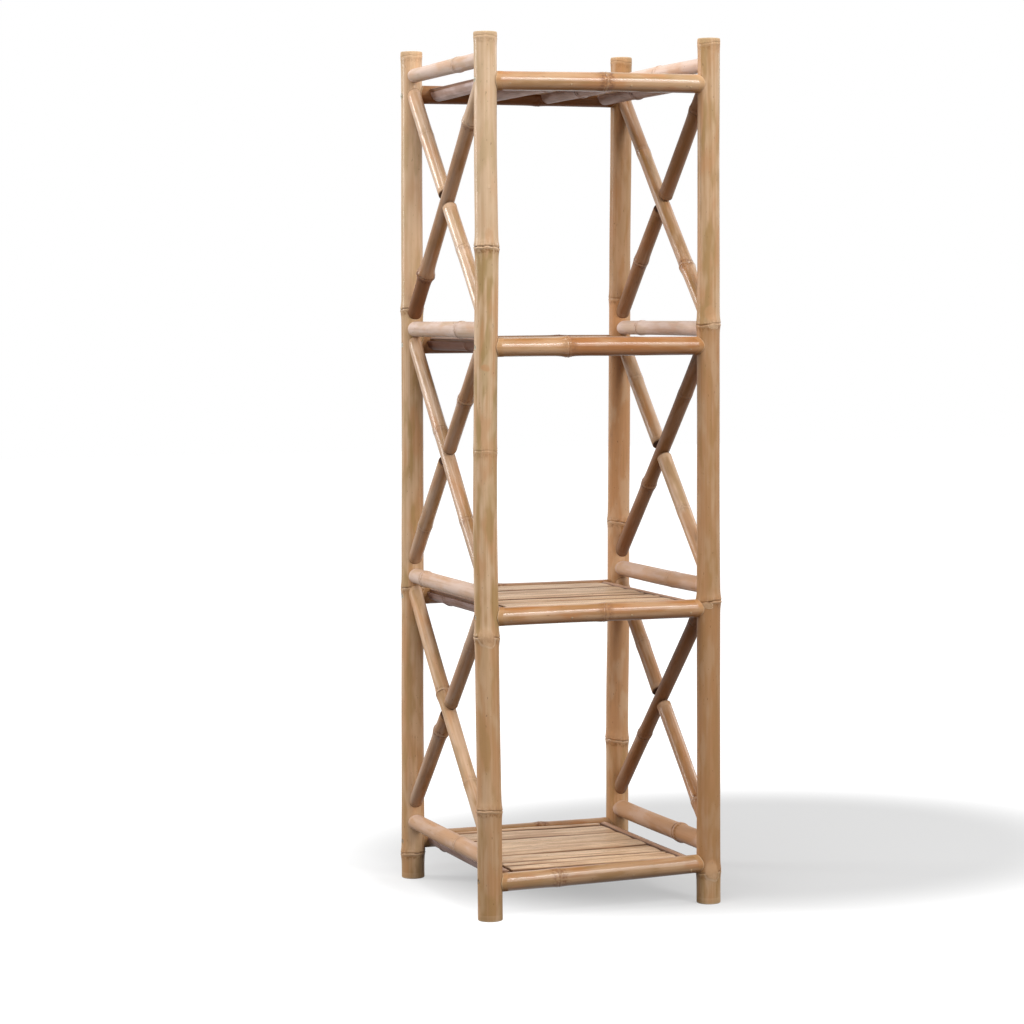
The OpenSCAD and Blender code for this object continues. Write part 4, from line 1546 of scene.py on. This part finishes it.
def make_battens(k):
    """The four battens of one tier; an upper one may run a little askew."""
    tubes = Tubes()
    across, up = batten_section()
    skews = BATTEN_SKEWS.get(k, (0,) * BATTENS)
    for i, (x, skew) in enumerate(zip(batten_x, skews)):
        random = np.random.default_rng(BATTEN_SEED + 10 * k + i)
        phases = random.uniform(0, 2 * np.pi, 4)
        offset = random.uniform(-PATTERN_REACH, PATTERN_REACH, 3)
        ring_place = random.uniform(-BATTEN_RING_REACH, BATTEN_RING_REACH)
        rows = rows_between(-post_y, post_y, [ring_place], RING_REACH)[:, None]
        distance = rows - ring_place - 0.4 * np.sin(3 * across + phases[0])
        swell = ring_relief(distance) * np.clip(-up * 2, 0, 1) * BATTEN_RING_STRENGTH
        radius = BATTEN_RADIUS + swell + 0.12 * np.sin(rows / 40 + phases[1])
        side = x + skew * rows / post_y + across * radius
        z = deck_top(k) - SLAT_THICKNESS - BATTEN_SINK + up * radius
        rail_way = (RAIL_RADIUS + BATTEN_END_GAP) ** 2 - (z - tier_z[k]) ** 2
        y = rows / post_y * (post_y - np.sqrt(np.maximum(rail_way, 0)))
        grid = np.stack([side, y, z], -1)[:, ::-1]
        grain = np.stack([across * radius, up * radius, y], -1)[:, ::-1] + offset
        tone = BATTEN_SHADE_TONES[k] + random.uniform(-BATTEN_TONE_STRAY, BATTEN_TONE_STRAY)
        tubes.add(grid, 0, grain=grain, ring=distance[:, ::-1], tone=tone)
    return tubes.build(f"battens_{k}_halves", (BATTEN_SKIN,), "batten_bamboo", f"battens_{k}")


for k in TIERS:
    made = make_battens(k)
    print(made.name, len(made.data.polygons), "faces")

# %% [markdown]
# ## Nails, screws and dowels
#
# Slats, strips and battens are nailed, and small round heads show on the decks and on the rails.
# A nail is a turned shape: a few rows of length and radius carried round its axis. The shelf
# screws, plugs and dowels already have their true shape in the construction. They only have to
# stray with the posts, so a shifted copy stands for each.

# %% Drive the nails
NAIL_COLUMNS = np.linspace(0, 2 * np.pi, 12, endpoint=False)
NAIL_WAYS = np.array([0.0, 1.5, 9.0, 11.2, 11.3, 11.75, 12.0, 12.08])
NAIL_RADII = np.array([0.2, 0.8, 0.8, 0.8, 1.35, 1.45, 1.0, 0.3])
POINT_WAY = 9.0
SLAT_NAIL, BATTEN_NAIL = 12.0, 40.0
NAIL_PROUD = 0.05
END_NAIL_INSET = 3.25
END_NAIL_X = slat_end - END_NAIL_INSET
BATTEN_NAIL_DROP = 4.0
STRIP_NAILS = 4


def add_nail(tubes, head, direction, length):
    """Adds a nail whose head's top is at head and whose point lies against the direction.

    The outline is that of a slat nail. A longer nail has its point further from the head.
    """
    direction = np.array(direction, float)
    zero = np.array([1.0, 0, 0])
    other = np.cross(direction, zero)
    ways = np.where(NAIL_WAYS < POINT_WAY, NAIL_WAYS + SLAT_NAIL - length, NAIL_WAYS) - SLAT_NAIL
    circle = np.cos(NAIL_COLUMNS)[:, None] * zero + np.sin(NAIL_COLUMNS)[:, None] * other
    grid = np.array(head) + ways[:, None, None] * direction + NAIL_RADII[:, None, None] * circle
    tubes.add(grid, 0, grain=grid)


def nail_steel():
    """Dull wire steel, browned by the varnish over it."""
    graph = Graph("nail_steel")
    grain = graph.attribute("grain", "Vector")
    cloud = graph.noise(grain, (1.5, 1.5, 1.5))
    tint = graph.mix(cloud.rise(0.4, 0.6), colour(178, 148, 112), colour(140, 112, 82))
    metal, rough = cloud * 0.3 + 0.1, cloud * 0.2 + 0.4
    return graph.surface({"Base Color": tint, "Metallic": metal, "Roughness": rough})


def make_nails():
    """All nails of the four decks as one object."""
    tubes = Tubes()
    nail_x = (-END_NAIL_X, *batten_x[1:-1], END_NAIL_X)
    face = math.sqrt(RAIL_RADIUS**2 - BATTEN_NAIL_DROP**2)
    for k in TIERS:
        crest = deck_top(k) + PLANK_CROWN - CROWN_DROP
        places, skews = slat_seams(k)
        for i in range(len(SLAT_PARTS)):
            for x in nail_x:
                seam = places[i : i + 2] + skews[i : i + 2] * x / (2 * slat_end)
                head = (x, seam.mean(), crest + slat_lift(k, i, x) + NAIL_PROUD)
                add_nail(tubes, head, (0, 0, 1), SLAT_NAIL)
        for sign in (-1, 1):
            for i in range(STRIP_NAILS):
                y = deck_y * ((2 * i + 1) / STRIP_NAILS - 1)
                head = (sign * (strip_in + strip_out) / 2, y, crest + NAIL_PROUD)
                add_nail(tubes, head, (0, 0, 1), SLAT_NAIL)
            for x in batten_x:
                head = (x, sign * (post_y + face + NAIL_PROUD), tier_z[k] - BATTEN_NAIL_DROP)
                add_nail(tubes, head, (0, sign, 0), BATTEN_NAIL)
    return tubes.build("deck_nails_set", (nail_steel(),), "nail_steel", "deck_nails")


made = make_nails()
print(made.name, len(made.data.polygons), "faces")

# %% Shift the screws, plugs and dowels with the posts


def turned_wood():
    """Bare dowel wood."""
    graph = Graph("dowel_wood")
    grain = graph.node("ShaderNodeTexCoord", output="Object")
    fibre = graph.noise(grain, (900.0, 900.0, 60.0), 3.0)
    tint = graph.mix(fibre.rise(0.35, 0.7), colour(222, 196, 152), colour(190, 154, 106))
    return graph.surface({"Base Color": tint, "Roughness": fibre * 0.2 + 0.55})


def zinc_steel():
    """Zinc-plated steel with faint drawing marks."""
    graph = Graph("screw_zinc")
    grain = graph.node("ShaderNodeTexCoord", output="Object")
    marks = graph.noise(grain, (1500.0, 1500.0, 1500.0), 2.0)
    tint = graph.mix(marks.rise(0.35, 0.65), colour(196, 190, 172), colour(158, 150, 128))
    return graph.surface({"Base Color": tint, "Metallic": 1.0, "Roughness": marks * 0.2 + 0.3})


def strayed_copy(node, material, slot):
    """A copy of a construction node that strays with the posts."""
    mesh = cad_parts[node].data.copy()
    points = np.empty(len(mesh.vertices) * 3)
    mesh.vertices.foreach_get("co", points)
    points = stray(points.reshape(-1, 3) / MM) * MM
    mesh.vertices.foreach_set("co", points.ravel())
    mesh.materials.clear()
    mesh.materials.append(material)
    mesh.update()
    return stand_in(bpy.data.objects.new(f"{node}_set", mesh), slot, node)


DOWEL_WOOD = turned_wood()
for node in ("rail_plugs", "side_rail_dowels", "brace_dowels", "cross_dowels"):
    strayed_copy(node, DOWEL_WOOD, "dowel_wood")
made = strayed_copy("shelf_screws", zinc_steel(), "screw_steel")
print(made.name, len(made.data.polygons), "faces")
